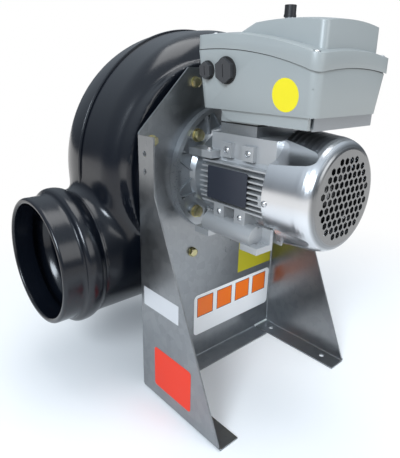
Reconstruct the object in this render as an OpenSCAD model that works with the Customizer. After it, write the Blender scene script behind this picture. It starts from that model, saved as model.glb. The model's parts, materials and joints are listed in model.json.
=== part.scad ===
// Industrial centrifugal blower: a moulded volute casing and a flanged motor on
// a folded sheet stand, with a speed drive on top of the motor.
// Sizes are in millimetres. +Z is up, the outlet points along -X and the inlet
// along +Y. The origin is the centre of the four base bolt holes, on the floor.

/* [Stand] */
// Overall width of the folded stand
stand_w = 312; // [304:1:324]
// Height of the back panel
stand_h = 496; // [486:1:520]
// Thickness of the folded sheet
sheet_t = 2.5; // [2:0.5:3]
// Height of the shaft axis above the floor
shaft_h = 344; // [338:1:354]
// Height of the side edges, where the top chamfers begin
side_h = 409; // [400:1:420]
// Distance in from each side to the top end of the chamfer
chamfer_in = 89; // [80:1:96]
// Depth of the side flanges at the top
flange_depth = 36; // [32:1:42]
// Height where the side flanges start to slant out
kink_h = 330; // [310:1:345]
// Depth of the side flanges on the floor
foot_depth = 180; // [172:1:190]
// Width of the flanges that lie on the floor
base_flange = 36; // [32:1:42]
// Distance of the two rows of base holes along Y
base_pitch_y = 120; // [110:1:126]
// Distance of the first base holes from the panel's front face
base_hole_inset = 27; // [24:1:32]
// Diameter of the base holes
base_hole_d = 9; // [7:0.5:11]
// Outer radius of the bends
bend_r = 5; // [4:0.5:6]
// Gap left between neighbouring floor flanges
mitre_gap = 3; // [2:0.5:5]
// Diameter of the two holes in each side flange
side_hole_d = 8; // [6:0.5:10]
// Distance from the top of the side flange to its first hole, and between the holes
side_hole_pitch = 24; // [20:1:30]
// Distance of those holes from the panel's front face
side_hole_inset = 16; // [13:1:20]

/* [Casing] */
// Radius of the volute at its seam
volute_r = 225; // [219:1:231]
// Offset of the volute's centre from the shaft, along +X
volute_dx = 46; // [43:1:49]
// Drop of the volute's centre below the shaft
volute_drop = 13.5; // [12:0.5:15]
// Width of each casing half, from its wall to the seam
half_w = 109; // [107:1:113]
// Wall thickness of the casing
casing_t = 5; // [4:0.5:6]
// Radius of the drive half's rounded shoulder
shoulder_r = 50; // [44:1:54]
// Width of the inlet half's shoulder, an oval that runs from its wall to the seam
inlet_shoulder = 61; // [56:1:66]
// Loss of radius from the seam to the shoulder
wall_draft = 3; // [2:0.5:5]
// Height of the rib along the seam
seam_rib_h = 2.5; // [1.5:0.5:4]
// Width of the seam rib on each half
seam_rib_w = 3; // [2:0.5:5]
// Overhang of the moulded flange ring beyond the back plate
ring_over = 14; // [10:1:18]
// Step from the flange ring's face back to the casing wall
ring_step = 7.5; // [6:0.5:10]
// Depth of the flange ring where it meets the rounded shoulder
ring_depth = 34; // [30:1:38]
// Width of the back plate's seat on the casing
plate_seat = 19; // [17:1:21]
// Distance between the back plate and the stand's sides
plate_side = 6; // [3:1:7]
// Thickness of the back plate
plate_t = 10; // [8:0.5:12]
// Distance of the panel bolts from the edge of the back plate
panel_bolt_edge = 7; // [6:1:9]
// Number of panel bolts
panel_bolt_n = 8; // [6:2:10]

/* [Ducts] */
// Drop of the outlet's axis below the shaft
outlet_drop = 137; // [134:0.5:139]
// Distance of the outlet's mouth from the shaft plane
outlet_reach = 264; // [256:1:275]
// Outer radius of the duct between the bead and the volute
duct_r = 102; // [101:0.5:103]
// Outer radius of both spigots
spigot_r = 100; // [98:0.5:101]
// Wall thickness of the spigots and the duct
spigot_t = 9; // [7:0.5:10]
// Height of the bead above the spigot
bead_h = 9; // [6:0.5:11]
// Half width of the bead
bead_half = 16; // [14:1:20]
// Distance from a spigot's mouth to the middle of its bead
bead_back = 49; // [40:1:54]
// Radius of the rounded lip
lip_r = 4; // [3:0.5:4.5]
// Length of the inlet collar
inlet_len = 60; // [56:1:75]
// Radius of the nozzle's throat
nozzle_r = 84; // [82:1:86]
// Wall thickness of the nozzle
nozzle_t = 3; // [2:0.5:3.5]
// Radius of the nozzle's flange
nozzle_flange_r = 108; // [106:1:112]
// Radius of the circle of nozzle screws
nozzle_screw_r = 101; // [100:0.5:102]
// Number of nozzle screws
nozzle_screw_n = 6; // [4:1:8]

/* [Impeller] */
// Outer radius of the impeller
impeller_r = 125; // [120:1:127]
// Inner radius of the blade ring
eye_r = 92; // [90:1:96]
// Width of the blades
blade_w = 122; // [110:1:126]
// Number of blades
blade_n = 28; // [20:1:32]
// Thickness of a blade
blade_t = 2.5; // [2:0.5:3]
// Angle by which a blade's tip leads its root
blade_sweep = 11; // [8:1:14]
// Thickness of the impeller's back disc
disc_t = 5; // [4:0.5:6]
// Width of the ring in front of the blades
shroud_t = 4; // [3:0.5:5]
// Distance of the back disc from the panel's front face
disc_at = 36; // [35:0.5:37]
// Outer radius of the impeller's hub
hub_r = 20; // [18:0.5:22]
// Radius of the hub's bolting flange
hub_flange_r = 42; // [38:1:48]
// Thickness of the hub's bolting flange
hub_flange_t = 6; // [5:0.5:8]
// Diameter of the washer that holds the hub on the shaft
hub_washer_d = 34; // [30:1:38]

/* [Motor] */
// Diameter of the motor flange
flange_d = 200; // [196:1:206]
// Thickness of the flange at its rim
flange_t = 10.7; // [10:0.1:12]
// Thickness of the flange's web
flange_web_t = 6; // [5:0.5:7]
// Width of the flange's raised rim
flange_rim = 7; // [5:0.5:9]
// Diameter of the circle of flange bolts
flange_bolt_d = 165; // [162:1:168]
// Radius of the register that centres the flange in the panel
register_r = 65; // [63:0.5:67]
// Height of that register
register_h = 3.5; // [3:0.5:4]
// Distance from the panel to the front of the motor frame
shield_len = 41; // [39:1:44]
// Length of the motor frame
frame_len = 117; // [113:1:124]
// Outer radius of the frame tube
frame_r = 66; // [64.5:0.5:67]
// Bore radius of the frame tube
frame_bore_r = 60; // [58:0.5:61]
// Reach of the side fins from the motor axis
fin_reach = 78; // [75:1:78]
// Thickness of a fin
fin_t = 2.2; // [1.8:0.1:2.6]
// Distance of neighbouring fins
fin_pitch = 7.2; // [6.8:0.1:7.6]
// Number of fins on each side of the middle fin
fin_n = 4; // [3:1:4]
// Height of the flat top of the frame above the axis
saddle_up = 67; // [67:0.5:69]
// Half width of that flat top
saddle_half = 56; // [54:1:58]
// Height of the upper fixing pads above the axis
pad_up = 46; // [45:0.5:47]
// Drop of the lower fixing pads below the axis
pad_down = 40; // [39:0.5:41]
// Distance of the fixing pads' outer faces from the axis
pad_face = 63; // [61:0.5:65]
// Width and height of a fixing pad
pad_size = 20; // [18:1:22]
// Distance from the panel to the first fixing pad
pad_at = 76; // [74:1:80]
// Distance of the two fixing pads
pad_pitch = 40; // [38:1:42]
// Drop of the motor feet below the axis
foot_drop = 80; // [79:0.5:82]
// Distance of a foot's outer edge from the axis
foot_out = 80; // [79:1:84]
// Distance of a foot's inner edge from the axis
foot_in = 48; // [46:1:50]
// Distance of the foot holes from the axis
foot_hole_x = 62.5; // [61:0.5:64]
// Distance of the two foot holes along the motor
foot_hole_pitch = 100; // [98:1:102]
// Diameter of the foot holes
foot_hole_d = 10; // [8:0.5:11]
// Distance from the panel to the front end of the feet
foot_at = 34; // [32:1:36]
// Thickness of the foot plates
foot_t = 9; // [8:0.5:11]
// Radius of the rounded rail along each foot
rail_r = 15; // [13:0.5:16]

/* [Fan cover] */
// Radius of the fan cover's lobes
cover_r = 79.5; // [79:0.5:82]
// Length of the fan cover
cover_len = 68.6; // [64:0.2:74]
// Thickness of the fan cover
cover_t = 1.5; // [1:0.5:2]
// Loss of radius from the cover's open end to its rounded rear edge
cover_taper = 4; // [2:0.5:6]
// Length of the rounded rear edge
cover_edge = 26; // [18:1:32]
// Radius of the flat grille
cover_flat_r = 61.5; // [60:0.5:64]
// Depth of the four diagonal valleys
valley_depth = 9; // [7:0.5:10]
// Radius of the valleys
valley_r = 34; // [30:1:40]
// Width of a hexagonal air hole across its corners
grille_hole = 9.5; // [8.6:0.1:10]
// Distance of neighbouring air holes
grille_pitch = 11; // [10.6:0.1:11.6]
// Radius that the air holes stay within
grille_r = 57; // [52:1:60]
// Radius of the cooling fan
fan_r = 58; // [52:1:60]
// Width of the cooling fan's blades
fan_w = 26; // [22:1:28]
// Number of cooling fan blades
fan_n = 8; // [6:1:10]

/* [Shaft] */
// Diameter of the shaft's drive end
shaft_d = 19; // [18.5:0.1:19.5]
// Length of the drive end beyond the flange face
shaft_out = 40; // [39.5:0.5:41]
// Diameter of the bearing seats
seat_d = 20; // [19.8:0.1:20.4]
// Outer diameter of the bearings
bearing_d = 47; // [46:0.5:48]
// Width of the bearings
bearing_w = 14; // [13:0.5:15]
// Diameter of a bearing ball
ball_d = 7.9; // [7.5:0.1:8.2]
// Number of balls in a bearing
ball_n = 8; // [7:1:8]
// Distance from the panel to the front bearing
bearing_at = 20; // [19:0.5:22]
// Diameter of the rotor
rotor_d = 70; // [66:1:72]
// Length of the stator and rotor stacks
stack_len = 70; // [64:1:74]
// Width of the shaft key
key_w = 6; // [5:0.5:6]
// Height of the shaft key
key_h = 6; // [5:0.5:6]
// Length of the shaft key
key_len = 26; // [22:1:28]

/* [Drive] */
// Height of the adapter between motor and drive
adapter_h = 14; // [12:0.5:16]
// Half width of the adapter
adapter_half = 55; // [52:1:56]
// Distance from the panel to the adapter
adapter_at = 57; // [55:1:60]
// Length of the adapter along the motor
adapter_len = 66; // [62:1:70]
// Wall thickness of the adapter and the drive
drive_t = 4; // [3:0.5:5]
// Thickness of the gaskets
gasket_t = 2; // [1.5:0.5:2.5]
// Height of the housing's neck above the adapter gasket
neck_h = 17; // [15:1:20]
// Half width of the drive at its seam
drive_half = 79; // [77:1:83]
// Distance from the panel to the drive's far end
drive_at = 26.5; // [25:0.5:30]
// Length of the drive
drive_len = 195; // [190:1:200]
// Height of the housing up to the middle of its arched seam
housing_h = 79.5; // [76:0.5:84]
// Inward slope of the housing's sides down to its bottom
side_draft = 9; // [7:0.5:10]
// Inward slope of the housing's ends down to its bottom
end_draft = 5; // [4:0.5:7]
// Radius of the drive's upright corners
drive_corner_r = 12; // [10:1:15]
// Radius of the sphere that the seam follows
arch_r = 500; // [470:5:560]
// Distance from the panel to the highest point of the seam
arch_at = 60; // [56:1:66]
// Radius of the curve that drops the seam at its far end
arch_end_r = 66; // [62:1:72]
// Height of the lid's rim
rim_h = 18; // [16:0.5:20]
// Half width of the lid's dome
dome_half = 60.6; // [58:0.5:62]
// Distance from the panel to the dome's far foot
dome_at = 87; // [84:1:92]
// Distance from the drive's near end to the dome's near end
dome_inset = 6; // [5:0.5:8]
// Height of the dome's crown above the lid's rim
dome_h = 12; // [9:0.5:15]
// Radius of the sphere that the dome's crown follows
dome_r = 370; // [340:5:420]
// Run of the dome's far end for each millimetre that it rises
dome_slope_share = 2.3; // [1.8:0.1:2.8]
// Drop of the side skirt below the housing
skirt_h = 14; // [12:0.5:16]
// Number of heat-sink ribs
rib_n = 9; // [7:1:10]
// Distance of neighbouring heat-sink ribs
rib_pitch = 8; // [7.5:0.5:8.5]
// Radius of the small blanking plug across its corners
small_plug_r = 11; // [10:0.5:12]
// Radius of the large blanking plug across its corners
large_plug_r = 15.5; // [14:0.5:16]
// Distance from the panel to the small blanking plug
small_plug_at = 50; // [48:1:52]
// Distance of the two blanking plugs
plug_pitch = 34; // [32:1:36]
// Diameter of the speed knob
knob_d = 14; // [12:0.5:18]
// Height of the speed knob
knob_h = 13; // [11:0.5:16]

/* [Fasteners] */
// Width across the flats of the panel bolts' heads
panel_head = 13; // [12:0.5:14]
// Diameter of the panel bolts
panel_bolt_d = 8; // [7:0.5:8]
// Width across the flats of the flange bolts' heads
flange_head = 16; // [15:0.5:17]
// Diameter of the flange bolts
flange_stud_d = 10; // [9:0.5:10]
// Diameter of the small screws
screw_d = 4; // [3:0.5:5]

/* [Hidden] */

// Fits and overruns
run_gap = 0.05;
fit_gap = 0.1;
seat_gap = 0.3;
over = 1;
slab = 0.01;
arc_steps = 8;
smooth = 72;
$fn = 64;

// Places along Y
panel_y = base_pitch_y / 2 + base_hole_inset;
panel_back = sheet_t;
casing_front = panel_back + plate_t;
wall_at = casing_front + ring_step;
seam_at = wall_at + half_w;
inlet_wall_at = seam_at + half_w;
base_pitch_x = stand_w - base_flange;

// Radii that follow from the stand's width
plate_r = stand_w / 2 - plate_side;
panel_bolt_r = plate_r - panel_bolt_edge;
drive_opening_r = plate_r - plate_seat;
ring_r = plate_r + ring_over;

// Sizes that follow from the motor
frame_back = shield_len + frame_len;
cover_back = frame_back + cover_len;
seal_ring_w = 12;
plate_bore_r = hub_r + seal_ring_w;
rear_bearing_at = frame_back - bearing_w / 2;
stack_at = shield_len + (frame_len - stack_len) / 2;

// Heights of the drive above the motor axis
gasket_up = saddle_up + adapter_h;
neck_up = gasket_up + gasket_t;
housing_up = neck_up + neck_h;
seam_up = housing_up + housing_h;
drive_end = drive_at + drive_len;
wall_tilt = atan(side_draft / housing_h);

bolt_clear = 0.5;
washer_t = 1.6;
cos30 = cos(30);

// Screws and bolts: shares of the shank's diameter or of the width across the flats
head_share = 0.66;
crown_share = 1.08;
pan_share = 0.6;
pan_crown_share = 1.3;
slot_share = 0.2;
screw_hex_share = 1.75;
recess_share = 1.25;

// Points along an oval, from angle a0 to a1
function oval(cx, cy, rx, ry, a0, a1, n = arc_steps) =
    [for (i = [0:n]) let (a = a0 + (a1 - a0) * i / n) [cx + rx * cos(a), cy + ry * sin(a)]];

// Points along an arc, from angle a0 to a1
function arc(cx, cy, r, a0, a1, n = arc_steps) = oval(cx, cy, r, r, a0, a1, n);

// Places children on the shaft axis; local Z runs from the panel face to the inlet
module casing_axis() {
    translate([0, panel_y, shaft_h]) rotate([-90, 0, 0]) children();
}

// Places children on the shaft axis; local Z runs from the panel face over the
// motor, local X is X and local Y is up
module motor_axis() {
    translate([0, panel_y, shaft_h]) rotate([90, 0, 0]) children();
}

// Origin on the motor axis at the panel face; Y is negative over the motor
module motor_top() {
    translate([0, panel_y, shaft_h]) children();
}

module ring_of(n, r, start = 0) {
    for (i = [0:n - 1]) rotate([0, 0, start + i * 360 / n]) translate([r, 0, 0]) children();
}

module tube(r_out, r_in, h) {
    difference() {
        cylinder(r = r_out, h = h);
        translate([0, 0, -over]) cylinder(r = r_in, h = h + 2 * over);
    }
}

module hex(flats, h) {
    cylinder(r = flats / 2 / cos30, h = h, $fn = 6);
}

// Hexagon bolt: head and washer on the side of +Z, shank down to -length
module hex_bolt(flats, d, length) {
    head_h = d * head_share;
    cylinder(r = d, h = washer_t);
    translate([0, 0, washer_t]) intersection() {
        hex(flats, head_h);
        translate([0, 0, head_h - flats]) sphere(r = flats * crown_share);
    }
    translate([0, 0, -length]) cylinder(r = d / 2, h = length + washer_t);
}

// Round-headed screw with a cross recess: head on the side of +Z
module pan_screw(d, length) {
    head_h = d * pan_share;
    crown_r = d * pan_crown_share;
    difference() {
        union() {
            intersection() {
                cylinder(r = d, h = head_h);
                translate([0, 0, head_h - crown_r]) sphere(r = crown_r);
            }
            translate([0, 0, -length]) cylinder(r = d / 2, h = length + slab);
        }
        for (a = [0, 90]) rotate([0, 0, a])
            translate([-d / 2, -d * slot_share / 2, head_h / 2])
                cube([d, d * slot_share, head_h]);
    }
}

// Section of the folded sheet, seen from above: the panel and its two side flanges
module stand_section() {
    half = stand_w / 2;
    difference() {
        union() {
            translate([-half + bend_r, panel_back - bend_r])
                square([stand_w - 2 * bend_r, bend_r]);
            translate([-half, -foot_depth])
                square([stand_w, foot_depth + panel_back - bend_r]);
            for (side = [-1, 1]) translate([side * (half - bend_r), panel_back - bend_r])
                circle(r = bend_r);
        }
        translate([-half + bend_r, -bend_r])
            square([stand_w - 2 * bend_r, bend_r + panel_back - sheet_t]);
        translate([-half + sheet_t, -foot_depth - over])
            square([stand_w - 2 * sheet_t, foot_depth + over + panel_back - bend_r]);
        for (side = [-1, 1]) translate([side * (half - bend_r), panel_back - bend_r])
            circle(r = bend_r - sheet_t);
    }
}

// Outline of the panel, seen from the motor
module panel_outline() {
    half = stand_w / 2;
    polygon([
        [-half - over, bend_r], [half + over, bend_r], [half + over, side_h],
        [half, side_h], [half - chamfer_in, stand_h],
        [-half + chamfer_in, stand_h], [-half, side_h], [-half - over, side_h],
    ]);
}

// Outline of a side flange, seen from the side: distance in front of the panel, height
module side_outline() {
    polygon([
        [-bend_r, 0], [foot_depth, 0], [flange_depth, kink_h],
        [flange_depth, side_h], [sheet_t, side_h], [sheet_t, stand_h], [-bend_r, stand_h],
    ]);
}

// A bend to the floor and the flange that lies on it: local X runs along the
// flange, local Y from the outer face inwards
module floor_flange() {
    difference() {
        union() {
            translate([bend_r, 0]) square([base_flange - bend_r, sheet_t]);
            intersection() {
                translate([bend_r, bend_r]) circle(r = bend_r);
                square([bend_r, bend_r]);
            }
        }
        translate([bend_r, bend_r]) circle(r = bend_r - sheet_t);
    }
}

module support_stand() color("silver") difference() {
    half = stand_w / 2;
    union() {
        intersection() {
            translate([0, panel_y, 0]) linear_extrude(height = stand_h) stand_section();
            translate([0, panel_y + bend_r, 0]) rotate([90, 0, 0])
                linear_extrude(height = foot_depth + 2 * bend_r) panel_outline();
            translate([-half - over, panel_y, 0]) rotate([90, 0, 90]) mirror([1, 0])
                linear_extrude(height = stand_w + 2 * over) side_outline();
        }
        for (side = [0, 1]) mirror([side, 0, 0])
            translate([-half, panel_y + panel_back - bend_r, 0]) rotate([90, 0, 0])
                linear_extrude(height = foot_depth + panel_back - bend_r) floor_flange();
        translate([half - base_flange - mitre_gap, panel_y + panel_back, 0])
            rotate([90, 0, -90])
            linear_extrude(height = stand_w - 2 * base_flange - 2 * mitre_gap) floor_flange();
    }
    for (x = [-1, 1], y = [-1, 1])
        translate([x * base_pitch_x / 2, y * base_pitch_y / 2, -over])
            cylinder(d = base_hole_d, h = sheet_t + 2 * over);
    for (i = [1, 2])
        translate([-half - over, panel_y - side_hole_inset, side_h - i * side_hole_pitch])
            rotate([0, 90, 0]) cylinder(d = side_hole_d, h = stand_w + 2 * over);
    casing_axis() translate([0, 0, -over]) {
        cylinder(r = register_r + fit_gap, h = sheet_t + 2 * over);
        ring_of(4, flange_bolt_d / 2, 45)
            cylinder(r = flange_stud_d / 2 + bolt_clear, h = sheet_t + 2 * over);
        ring_of(panel_bolt_n, panel_bolt_r, 180 / panel_bolt_n)
            cylinder(r = panel_bolt_d / 2 + bolt_clear, h = sheet_t + 2 * over);
    }
}

panel_bolt_in = 11;
panel_bolt_grip = casing_front + panel_bolt_in;

module panel_bolts() color("goldenrod")
    motor_axis() ring_of(panel_bolt_n, panel_bolt_r, 180 / panel_bolt_n)
        hex_bolt(panel_head, panel_bolt_d, panel_bolt_grip);

flange_nut_h = 8;
boss_lift = 0.5;
bolt_seat = flange_t + boss_lift;

module flange_bolts() color("goldenrod")
    motor_axis() translate([0, 0, bolt_seat]) ring_of(4, flange_bolt_d / 2, 45)
        hex_bolt(flange_head, flange_stud_d, bolt_seat + sheet_t + flange_nut_h);

module flange_nuts() color("goldenrod")
    casing_axis() translate([0, 0, panel_back]) ring_of(4, flange_bolt_d / 2, 45)
        difference() {
            hex(flange_head, flange_nut_h);
            translate([0, 0, -over])
                cylinder(r = flange_stud_d / 2 + fit_gap, h = flange_nut_h + 2 * over);
        }

// Plate that closes the drive side and carries the shaft seal
module casing_back_plate() color([0.13, 0.13, 0.14])
    casing_axis() difference() {
        translate([0, 0, panel_back]) cylinder(r = plate_r, h = plate_t);
        translate([0, 0, panel_back - over]) {
            cylinder(r = plate_bore_r, h = plate_t + 2 * over);
            cylinder(r = register_r + over, h = register_h - sheet_t + 2 * over);
            ring_of(4, flange_bolt_d / 2, 45)
                hex(flange_head + 2 * bolt_clear, flange_nut_h + 2 * over);
            ring_of(panel_bolt_n, panel_bolt_r, 180 / panel_bolt_n)
                cylinder(r = panel_bolt_d / 2 + bolt_clear, h = plate_t + 2 * over);
        }
    }

module casing_shaft_seal() color([0.35, 0.33, 0.3])
    casing_axis() translate([0, 0, register_h + over]) tube(
        plate_bore_r - fit_gap, hub_r + run_gap, plate_t + panel_back - register_h - over);

// Half of the volute, revolved about its own centre: the wall at z 0, the seam at half_w
module volute_half(inlet, inset, base) {
    rotate_extrude($fn = 2 * smooth) polygon(concat(
        [[0, inset]],
        inlet ? oval(volute_r - inlet_shoulder, half_w,
                     inlet_shoulder - inset, half_w - inset, -90, 0)
              : arc(volute_r - wall_draft - shoulder_r, shoulder_r, shoulder_r - inset, -90, 0),
        [[volute_r - inset, half_w], [volute_r - inset, half_w + base], [0, half_w + base]]));
}

// Straight duct with a bead, revolved about its axis from its root to its mouth
module duct_solid(length, root_r, tip_r, lip, beyond) {
    bead_at = length - bead_back;
    bead_r = (bead_half * bead_half + bead_h * bead_h) / (2 * bead_h);
    bead_a = asin(bead_half / bead_r);
    polygon(concat(
        [[0, 0], [root_r, 0]],
        arc(tip_r + bead_h - bead_r, bead_at, bead_r, -bead_a, bead_a),
        lip > 0 ? arc(tip_r - lip, length - lip, lip, 0, 90, 4)
                : [[tip_r, length + beyond]],
        [[0, length + beyond]]));
}

outlet_len = outlet_reach + volute_dx;

// The outlet duct, one half of it: start is 180 for the drive side, 0 for the inlet side
module outlet_half(start, inside) {
    translate([volute_dx, panel_y + seam_at, shaft_h - outlet_drop]) rotate([0, -90, 0])
        rotate_extrude(angle = 180, start = start)
            if (inside)
                duct_solid(outlet_len, duct_r - spigot_t, spigot_r - spigot_t, 0, over);
            else
                duct_solid(outlet_len, duct_r, spigot_r, lip_r, 0);
}

// Places one casing half: the drive side, or the inlet side as its mirror image
module half_place(inlet) {
    translate([volute_dx, panel_y + (inlet ? inlet_wall_at : wall_at), shaft_h - volute_drop])
        rotate([inlet ? 90 : -90, 0, 0]) children();
}

module seam_rib() {
    translate([0, 0, half_w - seam_rib_w]) cylinder(
        r = volute_r + seam_rib_h, h = seam_rib_w, $fn = 2 * smooth);
}

module casing_drive_half() color([0.12, 0.12, 0.13]) difference() {
    union() {
        half_place(false) {
            volute_half(false, 0, 0);
            seam_rib();
        }
        casing_axis() translate([0, 0, casing_front]) cylinder(r = ring_r, h = ring_depth);
        outlet_half(180, false);
    }
    half_place(false) volute_half(false, casing_t, over);
    outlet_half(180, true);
    casing_axis() {
        translate([0, 0, casing_front - over]) cylinder(r = drive_opening_r, h = half_w);
        ring_of(panel_bolt_n, panel_bolt_r, 180 / panel_bolt_n)
            translate([0, 0, casing_front - over])
            cylinder(r = panel_bolt_d / 2 + fit_gap, h = panel_bolt_grip - casing_front + over);
    }
}

bore_r = spigot_r - spigot_t;

module casing_inlet_half() color([0.12, 0.12, 0.13]) difference() {
    union() {
        half_place(true) {
            volute_half(true, 0, 0);
            seam_rib();
        }
        outlet_half(0, false);
        casing_axis() translate([0, 0, inlet_wall_at - casing_t])
            rotate_extrude() duct_solid(inlet_len + casing_t, spigot_r, spigot_r, lip_r, 0);
    }
    half_place(true) volute_half(true, casing_t, over);
    outlet_half(0, true);
    casing_axis() translate([0, 0, inlet_wall_at - casing_t]) rotate_extrude()
        duct_solid(inlet_len + casing_t, bore_r, bore_r, 0, over);
    casing_axis() translate([0, 0, inlet_wall_at - casing_t - over]) {
        cylinder(r = bore_r, h = 2 * over);
        ring_of(nozzle_screw_n, nozzle_screw_r)
            cylinder(r = screw_d / 2 + fit_gap, h = casing_t);
    }
}

nozzle_flange_at = inlet_wall_at - casing_t - nozzle_t;
shroud_at = disc_at + disc_t + blade_w;

// Bell-mouthed nozzle: bolted inside the inlet wall, reaching into the impeller's eye
module inlet_nozzle() color([0.2, 0.2, 0.21]) casing_axis() difference() {
    reach = shroud_at + shroud_t / 2;
    turn_r = bore_r - nozzle_r;
    rotate_extrude($fn = smooth) polygon(concat(
        [[nozzle_r, reach], [nozzle_r, nozzle_flange_at + nozzle_t - turn_r]],
        arc(nozzle_r + turn_r, nozzle_flange_at + nozzle_t - turn_r, turn_r, 180, 90),
        [[nozzle_flange_r, nozzle_flange_at + nozzle_t], [nozzle_flange_r, nozzle_flange_at]],
        [[nozzle_r + turn_r, nozzle_flange_at]],
        [[nozzle_r + nozzle_t, nozzle_flange_at + nozzle_t - turn_r]],
        [[nozzle_r + nozzle_t, reach]]));
    translate([0, 0, nozzle_flange_at - over]) ring_of(nozzle_screw_n, nozzle_screw_r)
        cylinder(r = screw_d / 2 + fit_gap, h = nozzle_t + 2 * over);
}

module nozzle_screws() color("silver")
    casing_axis() translate([0, 0, nozzle_flange_at]) ring_of(nozzle_screw_n, nozzle_screw_r)
        mirror([0, 0, 1]) pan_screw(screw_d, nozzle_t + casing_t - over);

shield_r = 63;
shield_wall = 5;
boss_wall = 8;
boss_r = bearing_d / 2 + boss_wall;
oil_seal_r = 15;
web_rib_w = 2.2;
ear_up = 38;
ear_h = 10;
ear_out = 76;
ear_root = 47;
ear_front = 14;
bolt_boss_r = 11;
rib_drop = 1;
// Angles of the web's ribs at the hub and at the rim, for one eighth of the flange
rib_turns = [[2, 16], [27, 23], [31, 19]];

// One rib of the flange's web, from the hub at angle a0 to the rim at angle a1
module flange_rib(a0, a1) {
    hub = shield_r - shield_wall / 2;
    rim = flange_d / 2 - flange_rim / 2;
    run = [rim * cos(a1) - hub * cos(a0), rim * sin(a1) - hub * sin(a0)];
    translate([hub * cos(a0), hub * sin(a0)]) rotate(atan2(run[1], run[0]))
        translate([0, -web_rib_w / 2]) square([norm(run), web_rib_w]);
}

// Drive-end shield with its flange: rim, web, ribs, bearing seat and fixing ears
module motor_flange() color([0.62, 0.63, 0.65]) motor_axis() difference() {
    union() {
        rotate_extrude($fn = smooth) polygon([
            [oil_seal_r, -register_h], [register_r, -register_h], [register_r, 0],
            [flange_d / 2, 0], [flange_d / 2, flange_t],
            [flange_d / 2 - flange_rim, flange_t], [flange_d / 2 - flange_rim, flange_web_t],
            [shield_r + shield_wall, flange_web_t], [shield_r, flange_t + shield_wall / 2],
            [shield_r, shield_len - shield_wall], [frame_r, shield_len],
            [frame_bore_r - fit_gap, shield_len],
            [frame_bore_r - fit_gap, shield_len + shield_wall],
            [frame_bore_r - shield_wall, shield_len + shield_wall],
            [frame_bore_r - shield_wall, flange_t + shield_wall],
            [boss_r, flange_t], [boss_r, bearing_at + bearing_w],
            [bearing_d / 2, bearing_at + bearing_w], [bearing_d / 2, bearing_at],
            [oil_seal_r, bearing_at],
        ]);
        for (q = [0:3]) rotate([0, 0, 90 * q]) linear_extrude(height = flange_t - rib_drop)
            for (side = [-1, 1], turn = rib_turns) flange_rib(side * turn[0], side * turn[1]);
        ring_of(4, flange_bolt_d / 2, 45) cylinder(r = bolt_boss_r, h = bolt_seat);
        for (side = [0, 1]) mirror([side, 0, 0])
            translate([ear_root, ear_up - ear_h / 2, ear_front])
                cube([ear_out - ear_root, ear_h, shield_len - ear_front]);
    }
    translate([0, 0, -register_h - over]) ring_of(4, flange_bolt_d / 2, 45)
        cylinder(r = flange_stud_d / 2 + bolt_clear, h = bolt_seat + register_h + 2 * over);
    for (side = [-1, 1])
        translate([side * (shield_r + ear_out) / 2, ear_up, ear_front - over])
            cylinder(r = screw_d / 2 + fit_gap, h = shield_len);
}

shield_screw_in = 12;
shield_screw_len = shield_len - ear_front + shield_screw_in;

module shield_screws() color("silver") motor_axis()
    for (side = [-1, 1]) translate([side * (shield_r + ear_out) / 2, ear_up, ear_front])
        mirror([0, 0, 1]) pan_screw(screw_d, shield_screw_len);

lug_w = 14;
lug_len = 16;
// Loss of the cover's radius where the lugs end inside it
lug_taper = cover_taper * lug_len / 2 / (cover_len - cover_edge);
lug_r = sqrt(pow(cover_r - cover_t - fit_gap - lug_taper, 2) - lug_w * lug_w / 4);
lug_turn = 6;
cover_screw_in = 4;
low_fin_n = 3;
low_fin_pitch = 9.4;

// Section of the motor frame: tube, side fins, flat top and bottom fins
module frame_section() {
    difference() {
        union() {
            circle(r = frame_r, $fn = smooth);
            for (side = [-1, 1], i = [-fin_n:fin_n]) {
                up = i * fin_pitch;
                tip = sqrt(fin_reach * fin_reach - up * up);
                translate([side > 0 ? 0 : -tip, up - fin_t / 2]) square([tip, fin_t]);
            }
            translate([-saddle_half, ear_up - ear_h / 2])
                square([2 * saddle_half, saddle_up - ear_up + ear_h / 2]);
            for (i = [-low_fin_n:low_fin_n])
                translate([i * low_fin_pitch - fin_t / 2, -fin_reach])
                square([fin_t, fin_reach]);
        }
        circle(r = frame_bore_r, $fn = smooth);
    }
}

// Calls its children at each fixing pad of the given rows, heights above the axis;
// local Z points out of the pad's face
module at_pads(rows) {
    for (side = [0, 1], i = [0, 1], up = rows) mirror([side, 0, 0])
        translate([pad_face, up, pad_at + i * pad_pitch]) rotate([0, 90, 0]) children();
}

pad_depth = 20;
recess_r = screw_d * recess_share;
both_rows = [pad_up, -pad_down];

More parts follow.
